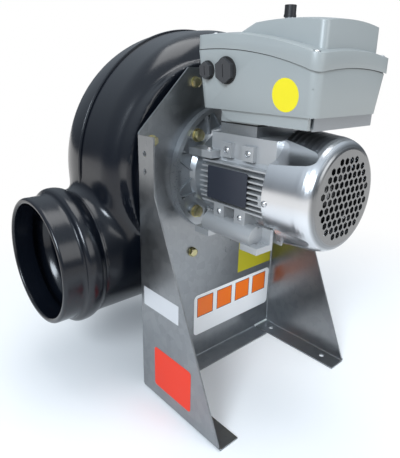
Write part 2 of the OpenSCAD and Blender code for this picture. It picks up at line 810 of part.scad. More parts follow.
module motor_frame() color([0.72, 0.73, 0.74]) motor_axis() difference() {
    union() {
        translate([0, 0, shield_len]) linear_extrude(height = frame_len) frame_section();
        difference() {
            at_pads(both_rows) translate([-pad_size / 2, -pad_size / 2, -pad_depth])
                cube([pad_size, pad_size, pad_depth]);
            translate([0, 0, shield_len]) cylinder(r = frame_bore_r, h = frame_len);
        }
        for (side = [0, 1]) mirror([side, 0, 0])
            translate([saddle_half - shield_wall, ear_up - ear_h / 2, shield_len])
                cube([ear_out - saddle_half + shield_wall, ear_h, 2 * ear_h]);
        for (a = [0:3]) rotate([0, 0, 90 * a + lug_turn])
            translate([frame_bore_r, -lug_w / 2, frame_back - lug_len / 2])
                cube([lug_r - frame_bore_r, lug_w, lug_len]);
    }
    at_pads(both_rows) translate([0, 0, -pad_depth / 2])
        cylinder(r = screw_d / 2 + fit_gap, h = pad_depth);
    at_pads([pad_up]) translate([0, 0, -screw_d / 2]) cylinder(r = recess_r, h = screw_d);
    for (side = [-1, 1])
        translate([side * (shield_r + ear_out) / 2, ear_up, shield_len - over])
            cylinder(r = screw_d / 2 + fit_gap, h = 2 * ear_h);
    for (a = [0:3]) rotate([0, 0, 90 * a + lug_turn])
        translate([frame_bore_r + over, 0, frame_back + cover_screw_in])
            rotate([0, 90, 0]) cylinder(r = screw_d / 2 + fit_gap, h = lug_r);
}

rear_web_t = 8;
rear_wall_t = 3;
rear_hole_r = seat_d / 2 + 2 * over;
rear_face = frame_back + bearing_w / 2 + rear_wall_t;

module rear_end_shield() color([0.6, 0.61, 0.63]) motor_axis()
    rotate_extrude($fn = smooth) polygon([
        [rear_hole_r, rear_face], [boss_r, rear_face],
        [boss_r + rear_wall_t, frame_back], [frame_bore_r - fit_gap, frame_back],
        [frame_bore_r - fit_gap, frame_back - rear_web_t],
        [boss_r, frame_back - rear_web_t], [boss_r, rear_bearing_at],
        [bearing_d / 2, rear_bearing_at], [bearing_d / 2, rear_bearing_at + bearing_w],
        [rear_hole_r, rear_bearing_at + bearing_w],
    ]);

air_gap = 0.6;
coil_len = 14;
coil_r = 49;
coil_gap = 3;

module stator_core() color([0.45, 0.46, 0.48]) motor_axis()
    translate([0, 0, stack_at]) difference() {
        cylinder(r = frame_bore_r - fit_gap, h = stack_len, $fn = smooth);
        translate([0, 0, -over]) cylinder(r = rotor_d / 2 + air_gap, h = stack_len + 2 * over);
    }

module stator_windings() color([0.7, 0.35, 0.15]) motor_axis()
    for (z = [stack_at - coil_len, stack_at + stack_len]) translate([0, 0, z])
        tube(coil_r, rotor_d / 2 + coil_gap, coil_len);

race_r = (seat_d + bearing_d) / 4;
race_land = 3.2;

module bearing_ring(outer) {
    rotate_extrude($fn = smooth) difference() {
        if (outer)
            translate([race_r + race_land - run_gap, 0])
                square([bearing_d / 2 - race_r - race_land, bearing_w]);
        else
            translate([seat_d / 2 + run_gap, 0])
                square([race_r - race_land - seat_d / 2, bearing_w]);
        translate([race_r, bearing_w / 2]) circle(r = ball_d / 2 + run_gap, $fn = smooth);
    }
}

module front_bearing_outer() color("lightsteelblue")
    motor_axis() translate([0, 0, bearing_at]) bearing_ring(true);

module rear_bearing_outer() color("lightsteelblue")
    motor_axis() translate([0, 0, rear_bearing_at]) bearing_ring(true);

module front_bearing_inner() color("steelblue")
    motor_axis() translate([0, 0, bearing_at]) bearing_ring(false);

module rear_bearing_inner() color("steelblue")
    motor_axis() translate([0, 0, rear_bearing_at]) bearing_ring(false);

module bearing_balls() color("gainsboro") motor_axis()
    for (z = [bearing_at, rear_bearing_at]) translate([0, 0, z + bearing_w / 2])
        ring_of(ball_n, race_r) sphere(r = ball_d / 2);

oil_seal_w = 7;

module motor_shaft_seal() color([0.1, 0.1, 0.1])
    motor_axis() translate([0, 0, bearing_at - over - oil_seal_w])
        tube(oil_seal_r - fit_gap, seat_d / 2 + run_gap, oil_seal_w);

rail_in = 15;
rail_lift = 3;
foot_len = 123;
pad_plate = 30;
foot_web_t = 5.4;
foot_arch_r = 33;
foot_arch_h = 7.5;

// The motor's foot on the +X side: two plates joined by a rounded rail, with an
// upright web against the fixing pads
module foot() motor_axis() difference() {
    union() {
        for (z = [foot_at, foot_at + foot_len - pad_plate])
            translate([foot_in, -foot_drop, z]) cube([foot_out - foot_in, foot_t, pad_plate]);
        translate([foot_out - rail_in, rail_r + rail_lift - foot_drop, foot_at + pad_plate / 2])
            cylinder(r = rail_r, h = foot_len - pad_plate);
        translate([foot_in, -foot_drop, foot_at])
            cube([foot_web_t, foot_drop - pad_down - pad_size / 2 - fit_gap, foot_len]);
        at_foot_lugs() translate([0, -pad_down - pad_size / 2 - foot_t, -pad_size / 2])
            cube([foot_t, pad_size + foot_t, pad_size]);
    }
    translate([0, -pad_down - pad_size / 2 - fit_gap, foot_at - over])
        cube([pad_face + fit_gap, pad_size, foot_len + 2 * over]);
    translate([foot_in - over, foot_arch_h - foot_arch_r - foot_drop, foot_at + foot_len / 2])
        rotate([0, 90, 0]) cylinder(r = foot_arch_r, h = foot_out);
    for (z = [-1, 1])
        translate([foot_hole_x, -foot_drop - over,
                   foot_at + foot_len / 2 + z * foot_hole_pitch / 2])
            rotate([-90, 0, 0]) cylinder(d = foot_hole_d, h = foot_t + 2 * over);
    at_foot_lugs() translate([-over, -pad_down, 0]) rotate([0, 90, 0])
        cylinder(r = screw_d / 2 + bolt_clear, h = foot_t + 2 * over);
}

// The two places where a foot is screwed to the frame's lower pads
module at_foot_lugs() {
    for (i = [0, 1]) translate([pad_face + fit_gap, 0, pad_at + i * pad_pitch]) children();
}

module foot_right() color([0.74, 0.75, 0.76]) foot();

module foot_left() color([0.74, 0.75, 0.76]) mirror([1, 0, 0]) foot();

module foot_screws() color("silver") motor_axis() at_pads([-pad_down])
    translate([0, 0, foot_t + fit_gap]) pan_screw(screw_d, foot_t + pad_depth / 2 - over);

// Screws that close the upper pads, where the feet would go on a side-mounted motor
module pad_screws() color("silver") motor_axis() at_pads([pad_up])
    translate([0, 0, -screw_d / 2]) pan_screw(screw_d, (pad_depth - screw_d) / 2 - over);

valley_lean = 2.5;

// Body of revolution of the fan cover with its four diagonal valleys
module cover_body(inset) {
    r = cover_r - inset;
    back = cover_back - inset;
    front = frame_back - (inset > 0 ? over : 0);
    flat_r = cover_flat_r - inset / 2;
    difference() {
        rotate_extrude($fn = 2 * smooth) polygon(concat(
            [[0, front], [r, front]],
            oval(flat_r, back - cover_edge + inset / 2, r - cover_taper - flat_r,
                 cover_edge - inset / 2, 0, 90),
            [[0, back]]));
        for (q = [0:3]) rotate([0, 0, 45 + 90 * q])
            translate([cover_r - valley_depth + valley_r, 0, frame_back - 2 * over])
                rotate([0, valley_lean, 0]) cylinder(r = valley_r + inset, h = 2 * cover_len);
    }
}

// Hexagonal air holes in staggered rows, all inside the grille's radius
module air_holes() {
    rows = ceil(grille_r / (grille_pitch * cos30));
    for (i = [-rows:rows], j = [-rows:rows]) {
        x = (j + (i % 2 == 0 ? 0 : 0.5)) * grille_pitch;
        y = i * grille_pitch * cos30;
        if (norm([x, y]) < grille_r - grille_hole / 2)
            translate([x, y]) rotate(30) circle(r = grille_hole / 2, $fn = 6);
    }
}

module fan_cover() color([0.75, 0.77, 0.8]) motor_axis() difference() {
    cover_body(0);
    cover_body(cover_t);
    translate([0, 0, cover_back - cover_t - over]) linear_extrude(height = cover_t + 2 * over)
        air_holes();
    for (a = [0:3]) rotate([0, 0, 90 * a + lug_turn])
        translate([frame_bore_r, 0, frame_back + cover_screw_in])
            rotate([0, 90, 0]) cylinder(r = screw_d / 2 + fit_gap, h = cover_r);
}

module cover_screws() color("silver") motor_axis()
    for (a = [0:3]) rotate([0, 0, 90 * a + lug_turn])
        translate([cover_r, 0, frame_back + cover_screw_in]) rotate([0, 90, 0])
            pan_screw(screw_d, 3 * screw_d);

module earth_screw() color([0.55, 0.65, 0.6]) motor_axis()
    translate([-(ear_out + shield_r) / 2, ear_up + ear_h / 2, shield_len + ear_h])
        rotate([-90, 0, 0]) {
            cylinder(r = screw_d, h = washer_t);
            translate([0, 0, washer_t]) hex(screw_d * screw_hex_share, screw_d * head_share);
        }

// Rotating parts

fan_gap = 9;
fan_at = rear_face + fan_gap;
fan_bore_r = 9;
fan_hub_wall = 6;
fan_disc_r = 46;
fan_disc_t = 2.5;
fan_blade_t = 2;
key_inset = 4;
hub_bolt_d = 6;
hub_bolt_len = 14;
rotor_seat_r = 14;

module motor_shaft() color("lightgray") motor_axis() difference() {
    rotate_extrude() polygon([
        [0, -shaft_out], [shaft_d / 2 - over, -shaft_out], [shaft_d / 2, -shaft_out + over],
        [shaft_d / 2, 0], [seat_d / 2, 0], [seat_d / 2, stack_at], [rotor_seat_r, stack_at],
        [rotor_seat_r, stack_at + stack_len], [seat_d / 2, stack_at + stack_len],
        [seat_d / 2, rear_bearing_at + bearing_w],
        [fan_bore_r, rear_bearing_at + bearing_w], [fan_bore_r, fan_at + fan_w],
        [0, fan_at + fan_w],
    ]);
    translate([-key_w / 2 - fit_gap, (shaft_d - key_h) / 2, key_inset - shaft_out - fit_gap])
        cube([key_w + 2 * fit_gap, key_h, key_len + 2 * fit_gap]);
    translate([0, 0, -shaft_out - over]) cylinder(d = hub_bolt_d, h = hub_bolt_len + over);
}

module shaft_key() color("dimgray") motor_axis()
    translate([-key_w / 2, (shaft_d - key_h) / 2, key_inset - shaft_out])
        cube([key_w, key_h, key_len]);

module rotor_core() color([0.5, 0.5, 0.52]) motor_axis() translate([0, 0, stack_at])
    tube(rotor_d / 2, rotor_seat_r + run_gap, stack_len);

module cooling_fan() color([0.15, 0.15, 0.16]) motor_axis() translate([0, 0, fan_at])
    difference() {
        union() {
            cylinder(r = fan_bore_r + fan_hub_wall, h = fan_w);
            cylinder(r = fan_disc_r, h = fan_disc_t);
            ring_of(fan_n, fan_bore_r + fan_hub_wall / 2) translate([0, -fan_blade_t / 2, 0])
                cube([fan_r - fan_bore_r - fan_hub_wall / 2, fan_blade_t, fan_w]);
        }
        translate([0, 0, -over]) cylinder(r = fan_bore_r + run_gap, h = fan_w + 2 * over);
    }

// Outline of one forward-curved blade, from the eye to the rim
module blade_outline() {
    n = 6;
    line = [for (i = [0:n]) let (t = i / n, r = eye_r + (impeller_r - eye_r) * t,
                                a = -blade_sweep * t * t)
            [r * cos(a), r * sin(a)]];
    polygon(concat(
        [for (i = [0:n]) line[i] + [0, blade_t / 2]],
        [for (i = [0:n]) line[n - i] - [0, blade_t / 2]]));
}

module impeller() color([0.25, 0.26, 0.28]) motor_axis() {
    difference() {
        union() {
            translate([0, 0, -disc_at - disc_t]) cylinder(r = impeller_r, h = disc_t);
            translate([0, 0, -shroud_at - shroud_t]) difference() {
                cylinder(r = impeller_r, h = shroud_t);
                translate([0, 0, -over]) cylinder(r = eye_r, h = shroud_t + 2 * over);
            }
            translate([0, 0, -shroud_at - over]) linear_extrude(height = blade_w + 2 * over)
                for (i = [0:blade_n - 1]) rotate(i * 360 / blade_n) blade_outline();
        }
        translate([0, 0, -disc_at - disc_t - over]) {
            cylinder(r = hub_r + fit_gap, h = disc_t + 2 * over);
            ring_of(hub_screw_n, hub_screw_r)
                cylinder(r = screw_d / 2 + fit_gap, h = disc_t + 2 * over);
        }
    }
}

hub_end = disc_at + disc_t;
hub_gap = 2;
hub_screw_n = 6;
hub_screw_r = (hub_r + hub_flange_r) / 2;

// Metal hub: keyed to the shaft, bolted to the front of the back disc
module impeller_hub() color("silver") motor_axis() difference() {
    union() {
        translate([0, 0, -hub_end]) cylinder(r = hub_r, h = hub_end - register_h - hub_gap);
        translate([0, 0, -disc_at]) cylinder(r = hub_flange_r, h = hub_flange_t);
    }
    translate([0, 0, -hub_end - over]) cylinder(r = shaft_d / 2 + run_gap, h = hub_end + over);
    translate([-key_w / 2 - run_gap, 0, -hub_end - over])
        cube([key_w + 2 * run_gap, shaft_d / 2 + key_h / 2 + run_gap, hub_end]);
    translate([0, 0, -disc_at - over]) ring_of(hub_screw_n, hub_screw_r)
        cylinder(r = screw_d / 2 + fit_gap, h = hub_flange_t + 2 * over);
}

module hub_screws() color("silver") motor_axis()
    translate([0, 0, -hub_end]) ring_of(hub_screw_n, hub_screw_r)
        mirror([0, 0, 1]) pan_screw(screw_d, disc_t + hub_flange_t - over);

hub_washer_t = 3;

module hub_washer() color("lightgray") motor_axis()
    translate([0, 0, -hub_end - hub_washer_t]) tube(
        hub_washer_d / 2, hub_bolt_d / 2, hub_washer_t);

module hub_bolt() color("silver") motor_axis()
    translate([0, 0, -hub_end - hub_washer_t]) mirror([0, 0, 1]) {
        hex(hub_bolt_d * screw_hex_share, hub_bolt_d * head_share);
        translate([0, 0, -hub_bolt_len])
            cylinder(r = hub_bolt_d / 2 - fit_gap, h = hub_bolt_len + slab);
    }

// Speed drive

// A box with rounded upright corners whose floor and top differ in size; each of
// the two rectangles is [half width, near y, far y, z]
module tapered_box(low, high, r) {
    hull() for (q = [low, high], side = [-1, 1], y = [q[1] + r, q[2] - r])
        translate([side * (q[0] - r), y, q[3]]) cylinder(r = r, h = slab, $fn = 32);
}

// The drive's outer walls, inset by the given wall, from the floor to the given height
module drive_walls(inset, floor_z, top) {
    tapered_box(
        [drive_half - side_draft - inset, -drive_end + end_draft + inset,
         -drive_at - end_draft - inset, floor_z],
        [drive_half - inset, -drive_end + inset, -drive_at - inset, top],
        drive_corner_r - inset);
}

arch_end_lift = 2;

// Everything below the arched seam, moved up by lift
module below_arch(lift) {
    intersection() {
        translate([0, -arch_at, seam_up - arch_r]) sphere(r = arch_r + lift, $fn = 2 * smooth);
        union() {
            translate([-drive_half - over, -arch_at, seam_up + arch_end_lift - arch_end_r])
                rotate([0, 90, 0]) cylinder(r = arch_end_r + lift, h = 2 * (drive_half + over));
            translate([-drive_half - over, -drive_end - over, housing_up])
                cube([2 * (drive_half + over), drive_end + over - arch_at, housing_h + arch_end_r]);
        }
    }
}

module drive_adapter() color([0.68, 0.69, 0.7]) motor_top() difference() {
    translate([-adapter_half, -adapter_at - adapter_len, saddle_up])
        cube([2 * adapter_half, adapter_len, adapter_h]);
    translate([-adapter_half + drive_t, -adapter_at - adapter_len + drive_t, saddle_up + drive_t])
        cube([2 * (adapter_half - drive_t), adapter_len - 2 * drive_t, adapter_h]);
}

module adapter_gasket() color([0.3, 0.12, 0.08]) motor_top() difference() {
    translate([-adapter_half, -adapter_at - adapter_len, gasket_up])
        cube([2 * adapter_half, adapter_len, gasket_t]);
    translate([-adapter_half + drive_t, -adapter_at - adapter_len + drive_t, gasket_up - over])
        cube([2 * (adapter_half - drive_t), adapter_len - 2 * drive_t, gasket_t + 2 * over]);
}

skirt_in = 4;
skirt_x = drive_half - side_draft - skirt_in;
skirt_t = 5;
skirt_near = 15;
skirt_far = 36;

// Side skirt below the housing, with a rounded lower corner at its far end
module skirt() {
    near = drive_end - skirt_near;
    far = drive_at + skirt_far;
    translate([-skirt_x, 0, housing_up - skirt_h]) rotate([90, 0, 90])
        linear_extrude(height = skirt_t) difference() {
            translate([-near, 0]) square([near - far, skirt_h + drive_t]);
            difference() {
                translate([-far - 2 * skirt_h, -over]) square([2 * skirt_h + over, skirt_h + over]);
                translate([-far - 2 * skirt_h, 2 * skirt_h]) circle(r = 2 * skirt_h);
            }
        }
}

lid_screw_in = 9;
lid_screw_back = 10;
lid_pocket = 1.5;
post_r = 6;
plug_shank_share = 0.75;
plug_rim_share = 1.08;

// Height of the lid's shoulder at a place, above the motor axis
function lid_z(x, y) =
    seam_up - arch_r + sqrt(pow(arch_r + rim_h, 2) - x * x - pow(y - arch_at, 2));

module at_lid_screws() {
    for (side = [-1, 1], y = [drive_at + 3 * lid_screw_back, drive_end - lid_screw_back]) {
        x = drive_half - lid_screw_in;
        translate([side * x, -y, lid_z(x, y)]) children();
    }
}

// Screw posts in the corners of the housing and the lid, between two heights of the arch
module lid_posts(low, high) {
    difference() {
        intersection() {
            at_lid_screws() translate([0, 0, -housing_h]) cylinder(r = post_r, h = housing_h);
            drive_walls(drive_t / 2, housing_up, seam_up + rim_h);
            below_arch(high);
        }
        below_arch(low);
        lid_screw_holes();
    }
}

// Holes for the lid's screws, with the pockets that their heads sit in
module lid_screw_holes() {
    at_lid_screws() {
        translate([0, 0, -housing_h / 2]) cylinder(r = screw_d / 2 + fit_gap, h = housing_h);
        translate([0, 0, -lid_pocket]) cylinder(r = screw_d + bolt_clear, h = rim_h);
    }
}

module drive_housing() color([0.74, 0.76, 0.76]) motor_top() difference() {
    union() {
        difference() {
            intersection() {
                drive_walls(0, housing_up, seam_up);
                below_arch(0);
            }
            drive_walls(drive_t, housing_up + drive_t, seam_up + over);
        }
        difference() {
            translate([-adapter_half, -adapter_at - adapter_len, neck_up])
                cube([2 * adapter_half, adapter_len, neck_h + over]);
            translate([-adapter_half + drive_t, -adapter_at - adapter_len + drive_t, neck_up - over])
                cube([2 * (adapter_half - drive_t), adapter_len - 2 * drive_t, neck_h + 3 * over]);
        }
        skirt();
        lid_posts(-housing_h / 2, 0);
    }
    lid_screw_holes();
    at_plug(small_plug_at) translate([0, 0, -2 * drive_t])
        cylinder(r = small_plug_r * plug_shank_share, h = 4 * drive_t);
    at_plug(small_plug_at + plug_pitch) translate([0, 0, -2 * drive_t])
        cylinder(r = large_plug_r * plug_shank_share, h = 4 * drive_t);
}

rib_t = 2.2;
rib_h = 16;
rib_inset = 9;
rib_plate_x = skirt_x - 2 * skirt_t;

// Cooling ribs under the near end of the housing
module heat_sink() color([0.6, 0.61, 0.62]) motor_top() {
    near = drive_end - end_draft - rib_inset;
    rib_len = rib_plate_x + drive_half - side_draft / 2;
    translate([-rib_plate_x, -near, housing_up - rib_t])
        cube([rib_len, (rib_n - 1) * rib_pitch + rib_t, rib_t]);
    for (i = [0:rib_n - 1])
        translate([-rib_plate_x, -near + i * rib_pitch, housing_up - rib_h])
            cube([rib_len, rib_t, rib_h]);
}

module lid_gasket() color([0.1, 0.1, 0.1]) motor_top() difference() {
    intersection() {
        drive_walls(over, housing_up, seam_up);
        below_arch(gasket_t / 2);
    }
    below_arch(0);
    drive_walls(drive_t - over, housing_up - over, seam_up + over);
    lid_screw_holes();
}

dome_near = drive_end - dome_inset;
dome_lift = rim_h + dome_h;
dome_edge_r = 8;
dome_lean = 2;
rim_draft = 1;

// The dome on the lid: upright walls on three sides, a slope at its far end
module dome(inset) {
    side_x = dome_half - dome_edge_r;
    near = dome_near - dome_edge_r;
    far = dome_at + dome_edge_r;
    crown = seam_up + dome_lift + over;
    foot_up = seam_up + rim_h - dome_h;
    shoulder_up = seam_up + rim_h - dome_h / 3;
    intersection() {
        hull() for (side = [-1, 1], foot = [
            [side_x, near, 0],
            [side_x, far - dome_slope_share * (shoulder_up - foot_up), foot_up],
            [side_x - dome_lean, near - 2 * dome_lean, crown],
            [side_x - dome_lean, far + dome_slope_share * (crown - shoulder_up), crown],
        ])
            translate([side * foot[0], -foot[1], foot[2]])
                cylinder(r = dome_edge_r - inset, h = slab, $fn = 32);
        translate([0, -(dome_near + dome_at) / 2, seam_up + dome_lift - dome_r])
            sphere(r = dome_r - inset, $fn = 2 * smooth);
        translate([-drive_half, -drive_end, seam_up - arch_end_r])
            cube([2 * drive_half, drive_len, 2 * arch_end_r]);
    }
}

module drive_lid() color([0.76, 0.78, 0.79]) motor_top() {
    lid_shell();
    lid_posts(gasket_t / 2, rim_h - drive_t / 2);
}

// The lid's rim, drawn in by an inset: its walls lean inwards by the rim's draft
module rim_box(inset) {
    out = rim_draft + inset;
    tapered_box(
        [drive_half - inset, inset - drive_end, -drive_at - inset, seam_up - arch_end_r],
        [drive_half - out, out - drive_end, -drive_at - out, seam_up + rim_h],
        drive_corner_r - inset);
}

module lid_shell() difference() {
    union() {
        intersection() {
            rim_box(0);
            below_arch(rim_h);
        }
        dome(0);
    }
    below_arch(gasket_t / 2);
    intersection() {
        rim_box(drive_t);
        below_arch(rim_h - drive_t);
    }
    dome(drive_t);
    lid_screw_holes();
    translate([knob_x, -knob_at, seam_up]) cylinder(r = bush_r + fit_gap, h = 2 * dome_lift);
}

module lid_screws() color("silver") motor_top() at_lid_screws()
    translate([0, 0, fit_gap - lid_pocket]) pan_screw(screw_d, rim_h + 2 * post_r);

// Circuit board on two standoffs
module drive_board() color([0.1, 0.35, 0.2]) motor_top() {
    floor_up = housing_up + drive_t;
    board_in = 4 * drive_t;
    translate([-drive_half + board_in, -drive_end + board_in, floor_up + 2 * drive_t])
        cube([2 * (drive_half - board_in), drive_len - 2 * board_in, drive_t / 2]);
    for (side = [-1, 1]) translate([side * drive_half / 2, -drive_end + 2 * board_in, floor_up])
        cylinder(r = screw_d, h = 2 * drive_t);
}

plug_drop = 31;
plug_z = seam_up - plug_drop;

// Calls its children on the housing's -X wall; local Z points out of the wall
module at_plug(at) {
    wall_x = drive_half - side_draft * (seam_up - plug_z) / housing_h;
    translate([-wall_x, -at, plug_z]) rotate([0, -90 - wall_tilt, 0]) children();
}

plug_head_h = 6;
plug_washer_t = 1.5;
plug_slot_w = 1.2;
plug_slot_h = 2;

// Blanking plug: slotted hexagon head and a round shank through the wall
module plug(r) {
    translate([0, 0, plug_washer_t]) difference() {
        union() {
            cylinder(r = r, h = plug_head_h, $fn = 6);
            translate([0, 0, -2 * drive_t])
                cylinder(r = r * plug_shank_share - fit_gap, h = 2 * drive_t + slab);
        }
        translate([-r / 2, -plug_slot_w / 2, plug_head_h - plug_slot_h])
            cube([r, plug_slot_w, plug_slot_h + over]);
    }
}

module small_plug() color([0.22, 0.22, 0.23]) motor_top()
    at_plug(small_plug_at) plug(small_plug_r);

module large_plug() color([0.22, 0.22, 0.23]) motor_top()
    at_plug(small_plug_at + plug_pitch) plug(large_plug_r);

module plug_washer(r) {
    tube(r * plug_rim_share, r * plug_shank_share, plug_washer_t);
}

module plug_washers() color([0.5, 0.5, 0.5]) motor_top() {
    at_plug(small_plug_at) plug_washer(small_plug_r);
    at_plug(small_plug_at + plug_pitch) plug_washer(large_plug_r);
}

knob_x = -25;
knob_at = 137;
bush_r = 4.5;
bush_flange_r = 6;
bush_flange_t = 1;
bush_lift = 0.6;
spindle_r = 3;
knob_skirt_share = 0.2;
pointer_w = 2;
pointer_out = 0.5;

// Height of the dome's crown at the knob, above the motor axis
knob_z = seam_up + dome_lift - dome_r
    + sqrt(dome_r * dome_r - knob_x * knob_x - pow(knob_at - (dome_near + dome_at) / 2, 2));

module knob_bush() color("dimgray") motor_top() translate([knob_x, -knob_at, knob_z]) {
    difference() {
        union() {
            translate([0, 0, -2 * drive_t]) cylinder(r = bush_r, h = 2 * drive_t + bush_lift);
            translate([0, 0, bush_lift]) cylinder(r = bush_flange_r, h = bush_flange_t);
        }
        translate([0, 0, -drive_t]) cylinder(r = spindle_r + run_gap, h = 2 * drive_t);
    }
}

// Knob with a skirt, a raised pointer and its spindle
module speed_knob() color([0.15, 0.3, 0.55]) motor_top()
    translate([knob_x, -knob_at, knob_z + bush_lift + bush_flange_t + seat_gap]) {
        cylinder(r = knob_d / 2 + pointer_out, h = knob_h * knob_skirt_share);
        cylinder(r = knob_d / 2, h = knob_h);
        translate([0, -pointer_w / 2, 0])
            cube([knob_d / 2 + pointer_out, pointer_w, knob_h + pointer_out]);
        translate([0, 0, -drive_t]) cylinder(r = spindle_r, h = drive_t + slab);
    }

support_stand();
panel_bolts();
flange_bolts();
flange_nuts();
casing_back_plate();
casing_shaft_seal();
casing_drive_half();
casing_inlet_half();
inlet_nozzle();
nozzle_screws();
motor_flange();
shield_screws();
motor_frame();
rear_end_shield();
stator_core();
stator_windings();
front_bearing_outer();
rear_bearing_outer();
motor_shaft_seal();
foot_left();
foot_right();
foot_screws();
pad_screws();
fan_cover();
cover_screws();
earth_screw();
drive_adapter();
adapter_gasket();
drive_housing();
heat_sink();
lid_gasket();
drive_lid();
lid_screws();
drive_board();
small_plug();
large_plug();
plug_washers();
knob_bush();
speed_knob();
motor_shaft();
shaft_key();
rotor_core();
front_bearing_inner();
rear_bearing_inner();
bearing_balls();
cooling_fan();
impeller();
impeller_hub();
hub_screws();
hub_washer();
hub_bolt();
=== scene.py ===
"""Looks of an industrial centrifugal blower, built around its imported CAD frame."""
import json
import math

import bmesh
import bpy
from mathutils import Matrix, Vector
from mathutils.bvhtree import BVHTree

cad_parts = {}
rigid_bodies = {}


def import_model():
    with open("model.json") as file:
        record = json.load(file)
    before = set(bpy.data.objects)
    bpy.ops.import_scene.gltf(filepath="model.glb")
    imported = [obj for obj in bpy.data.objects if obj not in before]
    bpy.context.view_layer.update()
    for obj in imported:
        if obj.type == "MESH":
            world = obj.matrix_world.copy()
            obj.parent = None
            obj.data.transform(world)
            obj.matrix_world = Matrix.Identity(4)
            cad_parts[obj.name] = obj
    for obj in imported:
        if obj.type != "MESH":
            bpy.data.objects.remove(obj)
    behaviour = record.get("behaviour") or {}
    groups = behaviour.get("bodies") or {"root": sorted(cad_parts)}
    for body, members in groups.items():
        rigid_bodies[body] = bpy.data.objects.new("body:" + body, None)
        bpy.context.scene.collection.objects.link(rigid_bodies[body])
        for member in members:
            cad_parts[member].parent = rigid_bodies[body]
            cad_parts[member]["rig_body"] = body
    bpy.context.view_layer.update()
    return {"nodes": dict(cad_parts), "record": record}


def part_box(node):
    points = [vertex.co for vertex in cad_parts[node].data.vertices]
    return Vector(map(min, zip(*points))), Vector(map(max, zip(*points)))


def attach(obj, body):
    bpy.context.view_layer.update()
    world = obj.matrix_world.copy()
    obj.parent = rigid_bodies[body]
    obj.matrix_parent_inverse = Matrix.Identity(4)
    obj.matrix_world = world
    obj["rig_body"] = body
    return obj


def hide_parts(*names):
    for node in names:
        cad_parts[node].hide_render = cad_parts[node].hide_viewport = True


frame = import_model()

MM = 0.001
ALONG_X, ALONG_Y, ALONG_Z = Vector((1, 0, 0)), Vector((0, 1, 0)), Vector((0, 0, 1))

record = frame["record"]
node_slot = {part["node"]: part["material_slot"] for part in record["subparts"]}


# Places, from the frame

STAND_SHEET_T = 2.5 * MM
COVER_SHEET_T = 1.6 * MM
stand_low, stand_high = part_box("support_stand")
panel_y = stand_high.y - STAND_SHEET_T
shaft = Vector(record["behaviour"]["joints"][0]["pos_m"])
knob_low, knob_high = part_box("speed_knob")
knob_centre = (knob_low + knob_high) / 2
grille_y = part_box("fan_cover")[0].y + COVER_SHEET_T


# Camera, at the photograph's place

PHOTO_WIDTH, PHOTO_HEIGHT = 400, 458
FOCAL_PX = 436.5
CENTRE_PX = (200.39, 227.75)
CAMERA_PLACE = Vector((-489.06, -411.61, 489.92)) * MM
CAMERA_AZIMUTH = math.radians(-42.15)
CAMERA_ELEVATION = math.radians(19.65)
CAMERA_ROLL = math.radians(1.37)
NEAREST_SEEN = 10 * MM
SENSOR = 36.0


def add_camera():
    """Makes the camera from its fitted place, direction, roll and focal length."""
    data = bpy.data.cameras.new("camera")
    data.sensor_fit = "VERTICAL"
    data.sensor_height = SENSOR
    data.lens = FOCAL_PX * SENSOR / PHOTO_HEIGHT
    data.shift_x = (PHOTO_WIDTH / 2 - CENTRE_PX[0]) / PHOTO_HEIGHT
    data.shift_y = (CENTRE_PX[1] - PHOTO_HEIGHT / 2) / PHOTO_HEIGHT
    data.clip_start = NEAREST_SEEN
    flat = math.cos(CAMERA_ELEVATION)
    back = Vector((math.sin(CAMERA_AZIMUTH) * flat,
                   -math.cos(CAMERA_AZIMUTH) * flat, math.sin(CAMERA_ELEVATION)))
    right = (-back).cross(ALONG_Z).normalized()
    up = back.cross(right)
    turned_right = right * math.cos(CAMERA_ROLL) + up * math.sin(CAMERA_ROLL)
    turned_up = up * math.cos(CAMERA_ROLL) - right * math.sin(CAMERA_ROLL)
    camera = bpy.data.objects.new("camera", data)
    camera.matrix_world = Matrix.LocRotScale(
        CAMERA_PLACE, Matrix((turned_right, turned_up, back)).transposed(), None)
    bpy.context.scene.collection.objects.link(camera)
    bpy.context.scene.camera = camera


# Node trees, written as Python expressions

class Value:
    """What a node gives; Python's operators on it add Math nodes to its tree."""

    def __init__(self, tree, socket):
        self.tree = tree
        self.socket = socket

    def math(self, operation, *values):
        return self.tree.first("ShaderNodeMath", {"operation": operation}, *values)

    def __add__(self, other):
        return self.math("ADD", self, other)

    __radd__ = __add__

    def __mul__(self, other):
        return self.math("MULTIPLY", self, other)

    __rmul__ = __mul__

    def __sub__(self, other):
        return self.math("SUBTRACT", self, other)

    def __rsub__(self, other):
        return self.math("SUBTRACT", other, self)

    def __truediv__(self, other):
        return self.math("DIVIDE", self, other)

    def __rtruediv__(self, other):
        return self.math("DIVIDE", other, self)

    def __pow__(self, other):
        return self.math("POWER", self, other)

    def __rpow__(self, other):
        return self.math("POWER", other, self)

    def __lt__(self, other):
        return self.math("LESS_THAN", self, other)

    def __gt__(self, other):
        return self.math("GREATER_THAN", self, other)

    def __abs__(self):
        return self.math("ABSOLUTE", self)

    def low(self, other):
        return self.math("MINIMUM", self, other)

    def high(self, other):
        return self.math("MAXIMUM", self, other)

    def blended(self, other, width):
        """The lower of two values, with a round passage over a width."""
        return self.math("SMOOTH_MIN", self, other, width)

    def diagonal(self, other):
        """How far off a point is, from its offsets along two axes."""
        return (self * self + other * other) ** 0.5

    def fraction(self):
        return self.math("FRACT", self)

    def step(self, start, end):
        """0 below start, 1 above end, smooth between."""
        return self.tree.first("ShaderNodeMapRange", {"interpolation_type": "SMOOTHSTEP"},
                               self, start, end, 0.0, 1.0)


